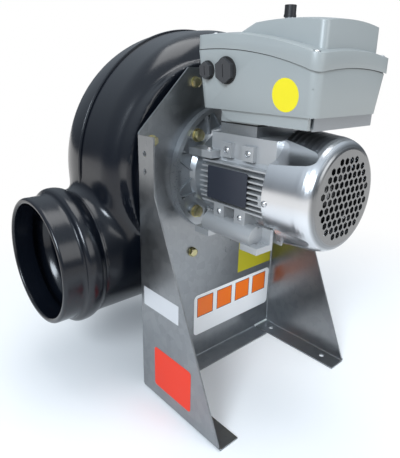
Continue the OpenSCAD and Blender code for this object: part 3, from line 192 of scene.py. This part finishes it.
class Tree:
    """A node tree, and the one way in which its nodes are added."""

    def __init__(self, tree):
        self.tree = tree

    def node(self, kind, settings, *values, **sockets):
        """Adds a node, sets it up and fills its sockets, by their order or their names."""
        node = self.tree.nodes.new(kind)
        for name, setting in settings.items():
            if name == "stops":
                for stop, (place, colour) in zip(node.color_ramp.elements, setting):
                    stop.position, stop.color = place, colour
            else:
                setattr(node, name, setting)
        for socket, given in zip(node.inputs, values):
            self.fill(socket, given)
        for name, given in sockets.items():
            self.fill(node.inputs[name.replace("_", " ")], given)
        return node

    def fill(self, socket, given):
        """Links a value to a socket, or sets the socket to what is given."""
        if isinstance(given, Value):
            self.tree.links.new(given.socket, socket)
        else:
            socket.default_value = given

    def first(self, kind, settings, *values, **sockets):
        """The first output of a new node."""
        return Value(self, self.node(kind, settings, *values, **sockets).outputs[0])

    def axes(self, point):
        """The three coordinates of a point."""
        node = self.node("ShaderNodeSeparateXYZ", {}, point)
        return [Value(self, output) for output in node.outputs]


class Paint(Tree):
    """One material and the few ways in which its finish is put together."""

    def __init__(self, name):
        self.material = bpy.data.materials.new(name)
        self.material.use_nodes = True
        super().__init__(self.material.node_tree)
        self.shader = self.tree.nodes["Principled BSDF"]
        self.place = Value(self, self.node("ShaderNodeTexCoord", {}).outputs["Object"])

    def scaled(self, x, y, z):
        """Object coordinates times a factor along each axis."""
        return self.first("ShaderNodeMapping", {"vector_type": "POINT"},
                          Vector=self.place, Scale=(x, y, z))

    def noise(self, per_metre, detail=2.0, rough=0.5, at=None):
        """Noise between 0 and 1, with about that many features per metre."""
        return self.first("ShaderNodeTexNoise", {}, Vector=at or self.place,
                          Scale=per_metre, Detail=detail, Roughness=rough)

    def crystals(self, per_metre):
        """A random number for each crystal of a zinc coat."""
        node = self.node("ShaderNodeTexVoronoi", {}, Vector=self.place, Scale=per_metre)
        return self.first("ShaderNodeSeparateColor", {}, Value(self, node.outputs["Color"]))

    def mixed(self, factor, colour_a, colour_b):
        """Colour a where the factor is 0, colour b where it is 1."""
        node = self.node("ShaderNodeMix", {"data_type": "RGBA"}, Factor=factor)
        for socket, colour in ((node.inputs[6], colour_a), (node.inputs[7], colour_b)):
            self.fill(socket, colour if isinstance(colour, Value) else (*colour, 1.0))
        return Value(self, node.outputs[2])

    def bump(self, height, distance, strength):
        """Raises the surface by height times distance, in metres."""
        self.finish(Normal=self.first("ShaderNodeBump", {}, Strength=strength,
                                      Distance=distance, Height=height))

    def finish(self, **sockets):
        """Sets the shader's sockets: values stay on the socket, varying ones are linked."""
        for name, given in sockets.items():
            self.fill(self.shader.inputs[name.replace("_", " ")], given)
        return self.material


def baked(mesh, kind, settings, inputs):
    """What one modifier makes of a mesh, as plain mesh."""
    holder = bpy.data.objects.new("holder", mesh)
    bpy.context.scene.collection.objects.link(holder)
    modifier = holder.modifiers.new("step", kind)
    for name, setting in settings.items():
        setattr(modifier, name, setting)
    for identifier, size in inputs.items():
        modifier[identifier] = size
    bpy.context.view_layer.update()
    evaluated = holder.evaluated_get(bpy.context.evaluated_depsgraph_get())
    result = bpy.data.meshes.new_from_object(evaluated)
    bpy.data.objects.remove(holder)
    return result


class Form(Tree):
    """A moulded body as a field in Geometry Nodes: below 0 inside, above 0 outside."""

    def __init__(self, name, sizes):
        super().__init__(bpy.data.node_groups.new(name, "GeometryNodeTree"))
        self.given = {}
        for label, size in sizes.items():
            socket = self.tree.interface.new_socket(label, in_out="INPUT",
                                                    socket_type="NodeSocketFloat")
            self.given[socket.identifier] = size
        self.tree.interface.new_socket("Mesh", in_out="OUTPUT",
                                       socket_type="NodeSocketGeometry")
        entry = self.node("NodeGroupInput", {})
        self.sizes = [Value(self, entry.outputs[label]) for label in sizes]
        self.place = self.first("GeometryNodeInputPosition", {})

    def mesh(self, field, low, high, cell, finish):
        """The surface where the field is 0, as a plain mesh with its finish."""
        steps = [round((b - a) / cell) for a, b in zip(low, high)]
        volume = self.first("GeometryNodeVolumeCube", {}, Density=0 - field,
                            Background=-cell, Min=low, Max=high, Resolution_X=steps[0],
                            Resolution_Y=steps[1], Resolution_Z=steps[2])
        skin = self.first("GeometryNodeVolumeToMesh", {"resolution_mode": "GRID"},
                          Volume=volume, Threshold=0.0)
        whole = self.first("GeometryNodeRealizeInstances", {}, skin)
        dressed = self.first("GeometryNodeSetMaterial", {}, Geometry=whole, Material=finish)
        self.node("NodeGroupOutput", {}, dressed)
        return baked(bpy.data.meshes.new(self.tree.name), "NODES",
                     {"node_group": self.tree}, self.given)


# Finishes. A noise is 0.5 on average: a number that is taken off at the end of a sum for
# the roughness is about what the noises add to it.

def moulded(name, dark, pale, rough, grain, relief=0.35):
    """Moulded plastic: a fine grain, slow changes of shade and a soft sheen."""
    paint = Paint(name)
    cloud = paint.noise(9, 3.0)
    fine = paint.noise(grain)
    paint.bump(fine * 0.6 + cloud * 0.4, 0.25 * MM, relief)
    return paint.finish(Base_Color=paint.mixed(cloud, dark, pale),
                        Roughness=cloud * 0.12 + fine * 0.06 + rough - 0.09)


def rolled_metal(name, dark, pale, rough, grain, crystals=0, painted_shade=None, painted_shade_before=0):
    """Sheet metal: fine lines along the rolling direction, zinc crystals if wanted, and a
    painted shade: a darker colour on the face before a given y."""
    paint = Paint(name)
    lines = paint.noise(1.0, 3.0, 0.6, at=paint.scaled(*grain))
    cloud = paint.noise(7, 4.0)
    shade = lines * 0.45 + cloud * 0.55
    gloss = lines * 0.1 + cloud * 0.12 + rough - 0.11
    if crystals:
        flake = paint.crystals(crystals)
        shade = shade * 0.7 + flake * 0.3
        gloss = gloss + flake * 0.05 - 0.025
    paint.bump(lines, 0.05 * MM, 0.25)
    colour = paint.mixed(shade, dark, pale)
    # Painted shade: the face before the given y takes a darker colour, standing in for the
    # shade on it.
    if painted_shade:
        _, y, _ = paint.axes(paint.place)
        colour = paint.mixed(y.step(painted_shade_before, painted_shade_before + 5 * MM), painted_shade, colour)
    return paint.finish(Base_Color=colour, Metallic=1.0, Roughness=gloss)


def cast_metal(name, dark, pale, rough, metallic, grain=500, depth=0.12 * MM):
    """Cast or blasted metal, painted or bare: an even fine grain."""
    paint = Paint(name)
    fine = paint.noise(grain, 3.0, 0.6)
    cloud = paint.noise(14, 3.0)
    paint.bump(fine * 0.7 + cloud * 0.3, depth, 0.12)
    return paint.finish(Base_Color=paint.mixed(cloud * 0.6 + fine * 0.4, dark, pale),
                        Metallic=metallic, Roughness=fine * 0.12 + cloud * 0.1 + rough - 0.11)


def striped(name, dark, bright, from_axis, half_width):
    """The knob: matt plastic with a bright stripe down its right side."""
    paint = Paint(name)
    x, y, _ = paint.axes(paint.place)
    stripe = (x > knob_centre.x + from_axis) * (abs(y - knob_centre.y) < half_width)
    fine = paint.noise(900)
    paint.bump(fine, 0.1 * MM, 0.2)
    return paint.finish(Base_Color=paint.mixed(stripe, dark, bright),
                        Roughness=fine * 0.1 + 0.35)


def plated(name, dark, pale, rough):
    """Zinc plated screws: slow changes between two tints."""
    paint = Paint(name)
    tint = paint.noise(160)
    fine = paint.noise(900)
    paint.bump(fine, 0.06 * MM, 0.3)
    return paint.finish(Base_Color=paint.mixed(tint.step(0.3, 0.7), dark, pale),
                        Metallic=1.0, Roughness=fine * 0.15 + rough - 0.07)


def ringed(name, pale, dark, per_metre, rough):
    """Windings or stacked sheets: even rings along the shaft."""
    paint = Paint(name)
    _, along, _ = paint.axes(paint.place)
    ring = (along * per_metre).fraction()
    groove = ring.step(0.0, 0.25) * (1 - ring.step(0.75, 1.0))
    paint.bump(groove, 0.3 * MM, 0.6)
    return paint.finish(Base_Color=paint.mixed(groove, dark, pale), Metallic=1.0,
                        Roughness=paint.noise(300) * 0.1 + rough)


def film(name, colour, rough=0.4, metallic=0.0):
    """A plain printed film: a slight cloudiness and a faint grain."""
    paint = Paint(name)
    cloud = paint.noise(20, 3.0)
    darker = [part * 0.93 for part in colour]
    paint.bump(paint.noise(1500), 0.03 * MM, 0.2)
    return paint.finish(Base_Color=paint.mixed(cloud, darker, colour),
                        Roughness=cloud * 0.1 + rough - 0.05, Metallic=metallic)


def film_with_squares(name, first_x, pitch, middle_z, half, line, count):
    """A white film with a row of plain orange squares in thin dark frames."""
    paint = Paint(name)
    x, _, z = paint.axes(paint.place)
    cell = (x - (first_x - pitch / 2)) / pitch
    in_row = (cell > 0) * (cell < count)
    from_middle = abs((cell.fraction() - 0.5) * pitch).high(abs(z - middle_z))
    cloud = paint.noise(20, 3.0)
    white = paint.mixed(cloud, (0.92, 0.92, 0.92), (0.96, 0.96, 0.97))
    framed = paint.mixed(in_row * (from_middle < half), white, (0.02, 0.03, 0.05))
    filled = paint.mixed(in_row * (from_middle < half - line), framed, (1.0, 0.19, 0.006))
    return paint.finish(Base_Color=filled, Roughness=cloud * 0.1 + 0.35)


materials = {
    "casing_plastic": moulded(
        "casing_plastic", dark=(0.0025, 0.0035, 0.006), pale=(0.005, 0.007, 0.012),
        rough=0.21, grain=420, relief=0.05),
    "galvanised_sheet": rolled_metal(
        "galvanised_sheet", dark=(0.23, 0.24, 0.25), pale=(0.35, 0.36, 0.37),
        rough=0.33, grain=(900, 900, 40), crystals=90),
    "motor_paint": cast_metal(
        "motor_paint", dark=(0.42, 0.43, 0.44), pale=(0.50, 0.51, 0.52),
        rough=0.34, metallic=0.5),
    "cast_aluminium": cast_metal(
        "cast_aluminium", dark=(0.30, 0.32, 0.34), pale=(0.40, 0.42, 0.44),
        rough=0.3, metallic=0.8, depth=0.18 * MM),
    # The fan cover's grille end gets a painted shade: darker before grille_y.
    "bright_sheet": rolled_metal(
        "bright_sheet", dark=(0.70, 0.71, 0.73), pale=(0.79, 0.80, 0.82),
        rough=0.25, grain=(8, 60, 8), painted_shade=(0.27, 0.275, 0.28), painted_shade_before=grille_y),
    "drive_shell": cast_metal(
        "drive_shell", dark=(0.30, 0.325, 0.325), pale=(0.35, 0.375, 0.375),
        rough=0.42, metallic=0.1, grain=1100),
    "yellow_zinc": plated(
        "yellow_zinc", dark=(0.46, 0.44, 0.22), pale=(0.58, 0.50, 0.32), rough=0.3),
    "zinc_screw": plated(
        "zinc_screw", dark=(0.58, 0.59, 0.60), pale=(0.72, 0.73, 0.74), rough=0.28),
    "machined_steel": rolled_metal(
        "machined_steel", dark=(0.42, 0.43, 0.45), pale=(0.56, 0.57, 0.59),
        rough=0.25, grain=(90, 1500, 90)),
    "lamination": ringed(
        "lamination", pale=(0.34, 0.34, 0.36), dark=(0.14, 0.14, 0.15),
        per_metre=900, rough=0.4),
    "copper_winding": ringed(
        "copper_winding", pale=(0.62, 0.30, 0.14), dark=(0.25, 0.10, 0.05),
        per_metre=700, rough=0.3),
    "black_rubber": moulded(
        "black_rubber", dark=(0.012, 0.012, 0.012), pale=(0.022, 0.022, 0.022),
        rough=0.7, grain=900),
    "dark_plastic": moulded(
        "dark_plastic", dark=(0.030, 0.031, 0.034), pale=(0.045, 0.046, 0.050),
        rough=0.45, grain=900),
    "impeller_plastic": moulded(
        "impeller_plastic", dark=(0.05, 0.053, 0.057), pale=(0.075, 0.08, 0.085),
        rough=0.5, grain=700),
    "circuit_board": moulded(
        "circuit_board", dark=(0.02, 0.10, 0.05), pale=(0.03, 0.14, 0.07),
        rough=0.3, grain=500),
    "knob_plastic": striped(
        "knob_plastic", dark=(0.016, 0.016, 0.018), bright=(0.01, 0.17, 0.42),
        from_axis=3.6 * MM, half_width=2.6 * MM),
}


# The CAD nodes, and how new pieces take their place

SHARP_ANGLE = math.radians(35)
EDGE_WIDTH = 1.2 * MM
EDGE_SEGMENTS = 2
EDGE_ANGLE = math.radians(30)
SAME_POINT = 0.005 * MM
SAME_PLANE = math.radians(0.5)


def dress(mesh, finish):
    """Gives a mesh one finish."""
    mesh.materials.clear()
    mesh.materials.append(finish)


def shade_by_angle(mesh):
    """Shades a mesh smooth, apart from its sharp edges."""
    mesh.shade_smooth()
    mesh.set_sharp_from_angle(angle=SHARP_ANGLE)


for name, node in frame["nodes"].items():
    dress(node.data, materials[node_slot[name]])
    shade_by_angle(node.data)


def add_piece(name, mesh, slot, body, finish, *stands_for):
    """Adds a finished piece to a body, in place of the nodes that it stands for."""
    piece = bpy.data.objects.new(name, mesh)
    bpy.context.scene.collection.objects.link(piece)
    dress(mesh, finish)
    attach(piece, body)
    if stands_for:
        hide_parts(*stands_for)


def plain_mesh(name, work):
    """Turns a bmesh into a mesh and frees it."""
    mesh = bpy.data.meshes.new(name)
    work.to_mesh(mesh)
    work.free()
    return mesh


def merged(mesh):
    """A copy of a CAD mesh as one skin, with its flat faces whole."""
    work = bmesh.new()
    work.from_mesh(mesh)
    bmesh.ops.remove_doubles(work, verts=work.verts, dist=SAME_POINT)
    bmesh.ops.dissolve_limit(work, angle_limit=SAME_PLANE, verts=work.verts,
                             edges=work.edges)
    return plain_mesh("merged", work)


def soften(node_name):
    """Replaces a CAD node with a copy that has its sharp edges rounded."""
    source = frame["nodes"][node_name]
    mesh = baked(merged(source.data), "BEVEL",
                 {"width": EDGE_WIDTH, "segments": EDGE_SEGMENTS,
                  "limit_method": "ANGLE", "angle_limit": EDGE_ANGLE}, {})
    shade_by_angle(mesh)
    slot = node_slot[node_name]
    add_piece(node_name + "_finished", mesh, slot, source["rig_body"], materials[slot],
              node_name)


# The moulded casing: one smooth form, cut into its two halves at the seam

SEAM_Y = panel_y + 129 * MM
HALF_WIDTH = 109 * MM
WALL_Y = SEAM_Y - HALF_WIDTH
CASING_T = 5 * MM
VOLUTE_CENTRE = Vector((46, 0, 330.5)) * MM
VOLUTE_R = 225 * MM
DRAFT = 3 * MM
DRAFT_SLOPE = 0.0275  # DRAFT over HALF_WIDTH
DRIVE_SHOULDER = 50 * MM
INLET_SHOULDER = 61 * MM
OVAL_LENGTH = 75 * MM  # turns a share of the oval into about a length

DUCT_Z = 207 * MM
DUCT_R = 102 * MM
DUCT_T = 9 * MM
DUCT_BLEND = 36 * MM
MOUTH_X = -264 * MM
BEAD_END = 66 * MM

RING_Y = panel_y + 12.5 * MM
RING_R = 164 * MM
RING_DEPTH = 34 * MM
RING_BLEND = 5 * MM
DRIVE_OPENING_R = 131 * MM
DRIVE_OPENING_DEPTH = 15 * MM
INLET_OPENING_R = 93 * MM
INLET_OPENING_FROM = 90 * MM

FORM_LOW, FORM_HIGH = (-0.207, 0.093, 0.096), (0.279, 0.333, 0.564)
FORM_CELL = 3 * MM

# Closed outlines in millimetres: (along the axis, away from it)
BEAD = [(70, 102.2), (66, 102.6), (62.5, 104.2), (57, 107.2), (50, 108.9), (43, 109),
        (38.5, 108.2), (35.6, 105.8), (34, 102.6), (32.4, 100.8), (29, 100.1), (22, 100),
        (10, 99.9), (4, 99.8), (1.4, 98.6), (0.2, 96.4), (0.3, 94), (1.6, 91.8), (5, 91.1),
        (14, 91), (30, 91), (35, 92.4), (40, 97.4), (46, 99.9), (54, 99.4), (60, 96),
        (65, 93.4), (70, 93)]
COLLAR = [(-8, 100), (0, 100), (11, 100), (14, 101.5), (19, 107), (27, 108.9), (35, 107),
          (40, 101.5), (43, 100), (50, 100), (55, 99.8), (58.6, 98.6), (59.9, 96),
          (58.6, 92.6), (55, 91.2), (43, 91), (-8, 91)]
SEAM_RIB = [(-3.2, 222), (-3.2, 226.2), (-2.4, 227.3), (-0.5, 227.5), (0, 227.1),
            (0.5, 227.5), (2.4, 227.3), (3.2, 226.2), (3.2, 222)]
RIB_START, RIB_SWEEP, RIB_STEPS = -100, 287, 240
TURN_STEPS = 192
AT_THE_SEAM = 1e-7


def casing_form():
    """The casing's walls, with the duct flowing into the volute."""
    form = Form("casing_form", {"Volute Radius": VOLUTE_R, "Duct Radius": DUCT_R,
                                "Wall": CASING_T, "Drive Shoulder": DRIVE_SHOULDER,
                                "Inlet Shoulder": INLET_SHOULDER, "Blend": DUCT_BLEND})
    volute_r, duct_r, wall, drive_shoulder, inlet_shoulder, blend = form.sizes
    x, y, z = form.axes(form.place)
    from_volute = (x - VOLUTE_CENTRE.x).diagonal(z - VOLUTE_CENTRE.z)
    from_shaft = (x - shaft.x).diagonal(z - shaft.z)
    from_duct = (y - SEAM_Y).diagonal(z - DUCT_Z)

    def volute(inset):
        """A round shoulder on the drive side, an oval one on the inlet side."""
        out = from_volute - (y - WALL_Y) * DRAFT_SLOPE - (volute_r - drive_shoulder - DRAFT)
        back = drive_shoulder + WALL_Y - y
        near = (out.high(0).diagonal(back.high(0)) + out.high(back).low(0)
                - (drive_shoulder - inset))
        oval = ((from_volute - (volute_r - inlet_shoulder)).high(0)
                / (inlet_shoulder - inset)).diagonal(
                    (y - SEAM_Y).high(0) / (HALF_WIDTH - inset))
        return near.high((oval - 1) * OVAL_LENGTH)

    duct = (from_duct - duct_r).high(x - VOLUTE_CENTRE.x).high(MOUTH_X + BEAD_END - x)
    ring = (from_shaft - RING_R).high(RING_Y - y).high(y - RING_Y - RING_DEPTH)
    outside = volute(0).blended(duct, blend).blended(ring, RING_BLEND)
    inner_duct = (from_duct - (duct_r - DUCT_T)).high(x - VOLUTE_CENTRE.x)
    inside = volute(wall).blended(inner_duct, blend)
    drive_opening = (from_shaft - DRIVE_OPENING_R).high(y - WALL_Y - DRIVE_OPENING_DEPTH)
    inlet_opening = (from_shaft - INLET_OPENING_R).high(SEAM_Y + INLET_OPENING_FROM - y)
    walls = outside.high(0 - inside).high(0 - drive_opening).high(0 - inlet_opening)
    return form.mesh(walls, FORM_LOW, FORM_HIGH, FORM_CELL, materials["casing_plastic"])


def smoothed(outline, steps):
    """More points along a closed outline, on a curve through the given ones."""
    curve = []
    for i in range(len(outline)):
        a, b, c, d = (Vector(outline[(i + k) % len(outline)]) for k in (-1, 0, 1, 2))
        for j in range(steps):
            t = j / steps
            curve.append(0.5 * (2 * b + (c - a) * t + (2 * a - 5 * b + 4 * c - d) * t * t
                                + (3 * b - a - 3 * c + d) * t ** 3))
    return curve


def revolved(outline, centre, axis, start=0, sweep=360, steps=TURN_STEPS):
    """Turns a closed outline round an axis, all the way or by a part of it."""
    work = bmesh.new()
    side = axis.cross(ALONG_Z)
    full = sweep == 360
    rings = []
    for k in range(steps if full else steps + 1):
        turn = math.radians(start + sweep * k / steps)
        way = side * math.cos(turn) + ALONG_Z * math.sin(turn)
        rings.append([work.verts.new(centre + axis * (along * MM) + way * (away * MM))
                      for along, away in outline])
    for k in range(steps):
        here, there = rings[k], rings[(k + 1) % len(rings)]
        for i in range(len(outline)):
            j = (i + 1) % len(outline)
            work.faces.new((here[i], here[j], there[j], there[i]))
    if not full:
        work.faces.new(rings[0])
        work.faces.new(reversed(rings[-1]))
    bmesh.ops.recalc_face_normals(work, faces=work.faces)
    return plain_mesh("revolved", work)


def seam_half(meshes, inlet_side):
    """The parts of closed meshes on one side of the seam, closed again at the cut."""
    whole = bmesh.new()
    for source in meshes:
        work = bmesh.new()
        work.from_mesh(source)
        cut = bmesh.ops.bisect_plane(
            work, geom=work.verts[:] + work.edges[:] + work.faces[:], dist=AT_THE_SEAM,
            plane_co=(0, SEAM_Y, 0), plane_no=ALONG_Y, clear_inner=inlet_side,
            clear_outer=not inlet_side)
        rim = [item for item in cut["geom_cut"] if isinstance(item, bmesh.types.BMEdge)]
        if rim:
            bmesh.ops.triangle_fill(work, edges=rim, use_beauty=True)
        bmesh.ops.recalc_face_normals(work, faces=work.faces)
        part = plain_mesh("part", work)
        whole.from_mesh(part)
        bpy.data.meshes.remove(part)
    mesh = plain_mesh("casing_half", whole)
    shade_by_angle(mesh)
    return mesh


def add_casing():
    """The two halves, each with its part of the walls, the spigot and the seam rib."""
    walls = casing_form()
    spigot = revolved(smoothed(BEAD, 4), Vector((MOUTH_X, SEAM_Y, DUCT_Z)), ALONG_X)
    collar = revolved(smoothed(COLLAR, 3), Vector((shaft.x, SEAM_Y + HALF_WIDTH, shaft.z)),
                      ALONG_Y)
    rib = revolved(SEAM_RIB, Vector((VOLUTE_CENTRE.x, SEAM_Y, VOLUTE_CENTRE.z)), ALONG_Y,
                   RIB_START, RIB_SWEEP, RIB_STEPS)
    plastic = materials["casing_plastic"]
    add_piece("casing_drive_shell", seam_half([walls, spigot, rib], inlet_side=False),
              "casing_plastic", "root", plastic, "casing_drive_half")
    add_piece("casing_inlet_shell",
              seam_half([walls, spigot, rib, collar], inlet_side=True),
              "casing_plastic", "root", plastic, "casing_inlet_half")


# Labels and plates, all blank

FILM_T = 0.25 * MM
FILM_SINK = 0.05 * MM
PLATE_T = 0.8 * MM
CORNER_STEPS = 6
SQUARES = {"first_x": -22 * MM, "pitch": 47.5 * MM, "middle_z": 101 * MM,
           "half": 19 * MM, "line": 1.2 * MM, "count": 4}
DISC_YZ, DISC_R = (-89.5 * MM, 467 * MM), 19 * MM
DRIVE_WALL_UP = Vector((-0.1125, 0, 0.9937))
PLATE_YZ, PLATE_SIZE = (-8 * MM, 345.5 * MM), (74 * MM, 46 * MM)
LEFT_OF_ALL = -1.0


def add_slab(name, centre, across, up, size, corner, finish, thick=FILM_T):
    """A thin plate with rounded corners, standing on the surface at its centre."""
    outline = []
    for k, (side, rise) in enumerate(((1, 1), (-1, 1), (-1, -1), (1, -1))):
        for j in range(CORNER_STEPS + 1):
            turn = math.radians(90 * (k + j / CORNER_STEPS))
            outline.append((side * (size[0] / 2 - corner) + corner * math.cos(turn),
                            rise * (size[1] / 2 - corner) + corner * math.sin(turn)))
    out = across.cross(up).normalized()
    work = bmesh.new()
    lower, upper = [[work.verts.new(centre + across * a + up * b + out * depth)
                     for a, b in outline] for depth in (-FILM_SINK, thick)]
    work.faces.new(reversed(lower))
    work.faces.new(upper)
    for i in range(len(outline)):
        j = (i + 1) % len(outline)
        work.faces.new((lower[i], lower[j], upper[j], upper[i]))
    add_piece(name, plain_mesh(name, work), "dark_plastic", "root", finish)


def left_face(node_name, places):
    """The outermost x of a node's left side at some places (y, z)."""
    mesh = frame["nodes"][node_name].data
    skin = BVHTree.FromPolygons([vertex.co for vertex in mesh.vertices],
                                [face.vertices for face in mesh.polygons])
    hits = [skin.ray_cast(Vector((LEFT_OF_ALL, y, z)), ALONG_X)[0] for y, z in places]
    return min(hit.x for hit in hits if hit)


def add_labels():
    """Films and plates where the photograph has them."""
    add_slab("panel_label", Vector((51 * MM, panel_y, 86.5 * MM)), ALONG_X, ALONG_Z,
             size=(198 * MM, 79 * MM), corner=8 * MM,
             finish=film_with_squares("label_white", **SQUARES))
    add_slab("panel_plate", Vector((104 * MM, panel_y, 170 * MM)), ALONG_X, ALONG_Z,
             size=(92 * MM, 60 * MM), corner=1.5 * MM,
             finish=film("label_yellow", (0.50, 0.45, 0.01)))
    add_slab("side_label", Vector((stand_low.x, panel_y - 75.5 * MM, 58.5 * MM)),
             -ALONG_Y, ALONG_Z, size=(85 * MM, 69 * MM), corner=5 * MM,
             finish=film("label_orange", (0.78, 0.028, 0.002), rough=0.55))
    add_slab("side_plate", Vector((stand_low.x, panel_y - 49 * MM, 171 * MM)),
             -ALONG_Y, ALONG_Z, size=(82 * MM, 30 * MM), corner=0.8 * MM,
             finish=film("label_silver", (0.62, 0.63, 0.65), rough=0.35, metallic=0.3))
    add_slab("drive_disc", Vector((left_face("drive_housing", [DISC_YZ]), *DISC_YZ)),
             -ALONG_Y, DRIVE_WALL_UP, size=(2 * DISC_R, 2 * DISC_R), corner=DISC_R,
             finish=film("label_bright", (0.82, 0.70, 0.008)))
    # The plate rests on the outermost of the fins behind it
    fins = [(PLATE_YZ[0] + PLATE_SIZE[0] * 0.3 * a, PLATE_YZ[1] + PLATE_SIZE[1] * 0.05 * b)
            for a in (-1, 0, 1) for b in range(-9, 10)]
    add_slab("motor_plate", Vector((left_face("motor_frame", fins), *PLATE_YZ)),
             -ALONG_Y, ALONG_Z, size=PLATE_SIZE, corner=2 * MM, thick=PLATE_T,
             finish=film("plate_dark", (0.035, 0.04, 0.055), rough=0.35, metallic=0.3))


# Floor and light

FLOOR_REACH = 8.0
FADE_FROM, FADE_TO = 0.3, 1.0
LIT_POINT = Vector((0, 0, 0.3))
WHITE = (1, 1, 1, 1)
STUDIO_STRENGTH = 0.75
STUDIO_LOW, STUDIO_HIGH = (0.16, 0.18, 0.21, 1), (0.80, 0.90, 1.0, 1)
STUDIO_HIGH_FROM = 0.7


def add_floor():
    """A plain pale floor that keeps the object's shadow and fades to white."""
    paint = Paint("floor")
    paint.finish(Base_Color=paint.mixed(paint.noise(3), (0.88, 0.88, 0.88),
                                        (0.90, 0.90, 0.90)), Roughness=0.9)
    glow = paint.first("ShaderNodeEmission", {}, Color=WHITE, Strength=1.0)
    x, y, _ = paint.axes(paint.place)
    mix = paint.first("ShaderNodeMixShader", {}, x.diagonal(y).step(FADE_FROM, FADE_TO),
                      Value(paint, paint.shader.outputs[0]), glow)
    paint.fill(paint.tree.nodes["Material Output"].inputs["Surface"], mix)
    mesh = bpy.data.meshes.new("floor")
    corners = [(-FLOOR_REACH, -FLOOR_REACH, 0), (FLOOR_REACH, -FLOOR_REACH, 0),
               (FLOOR_REACH, FLOOR_REACH, 0), (-FLOOR_REACH, FLOOR_REACH, 0)]
    mesh.from_pydata(corners, [], [(0, 1, 2, 3)])
    dress(mesh, paint.material)
    floor = bpy.data.objects.new("floor", mesh)
    bpy.context.scene.collection.objects.link(floor)


def add_light(name, place, size, power, colour=(1, 1, 1)):
    """A square lamp that faces the object."""
    data = bpy.data.lights.new(name, "AREA")
    data.size = size
    data.energy = power
    data.color = colour
    lamp = bpy.data.objects.new(name, data)
    lamp.location = place
    lamp.rotation_euler = (LIT_POINT - Vector(place)).to_track_quat("-Z", "Y").to_euler()
    bpy.context.scene.collection.objects.link(lamp)


def add_world():
    """A pale studio: white to the camera, paler towards the top for what it lights."""
    world = bpy.data.worlds.new("studio")
    bpy.context.scene.world = world
    world.use_nodes = True
    sky = Tree(world.node_tree)
    sky.tree.nodes.clear()
    look = sky.node("ShaderNodeTexCoord", {})
    _, _, height = sky.axes(Value(sky, look.outputs["Generated"]))
    graded = sky.first("ShaderNodeValToRGB", {"stops": [(0.0, STUDIO_LOW),
                                                        (STUDIO_HIGH_FROM, STUDIO_HIGH)]},
                       height)
    studio = sky.first("ShaderNodeBackground", {}, Color=graded, Strength=STUDIO_STRENGTH)
    white = sky.first("ShaderNodeBackground", {}, Color=WHITE, Strength=1.0)
    path = sky.node("ShaderNodeLightPath", {})
    mix = sky.first("ShaderNodeMixShader", {}, Value(sky, path.outputs["Is Camera Ray"]),
                    studio, white)
    sky.node("ShaderNodeOutputWorld", {}, Surface=mix)


add_camera()
add_casing()
soften("drive_housing")
soften("drive_lid")
add_labels()
add_floor()
add_world()
add_light("key", place=(-2.2, -0.9, 1.7), size=1.0, power=60, colour=(0.82, 0.91, 1.0))
add_light("fill", place=(0.6, -2.6, 1.6), size=1.6, power=18)
add_light("top", place=(0.3, 0.3, 2.8), size=1.6, power=26)
bpy.context.scene.view_settings.view_transform = "Standard"
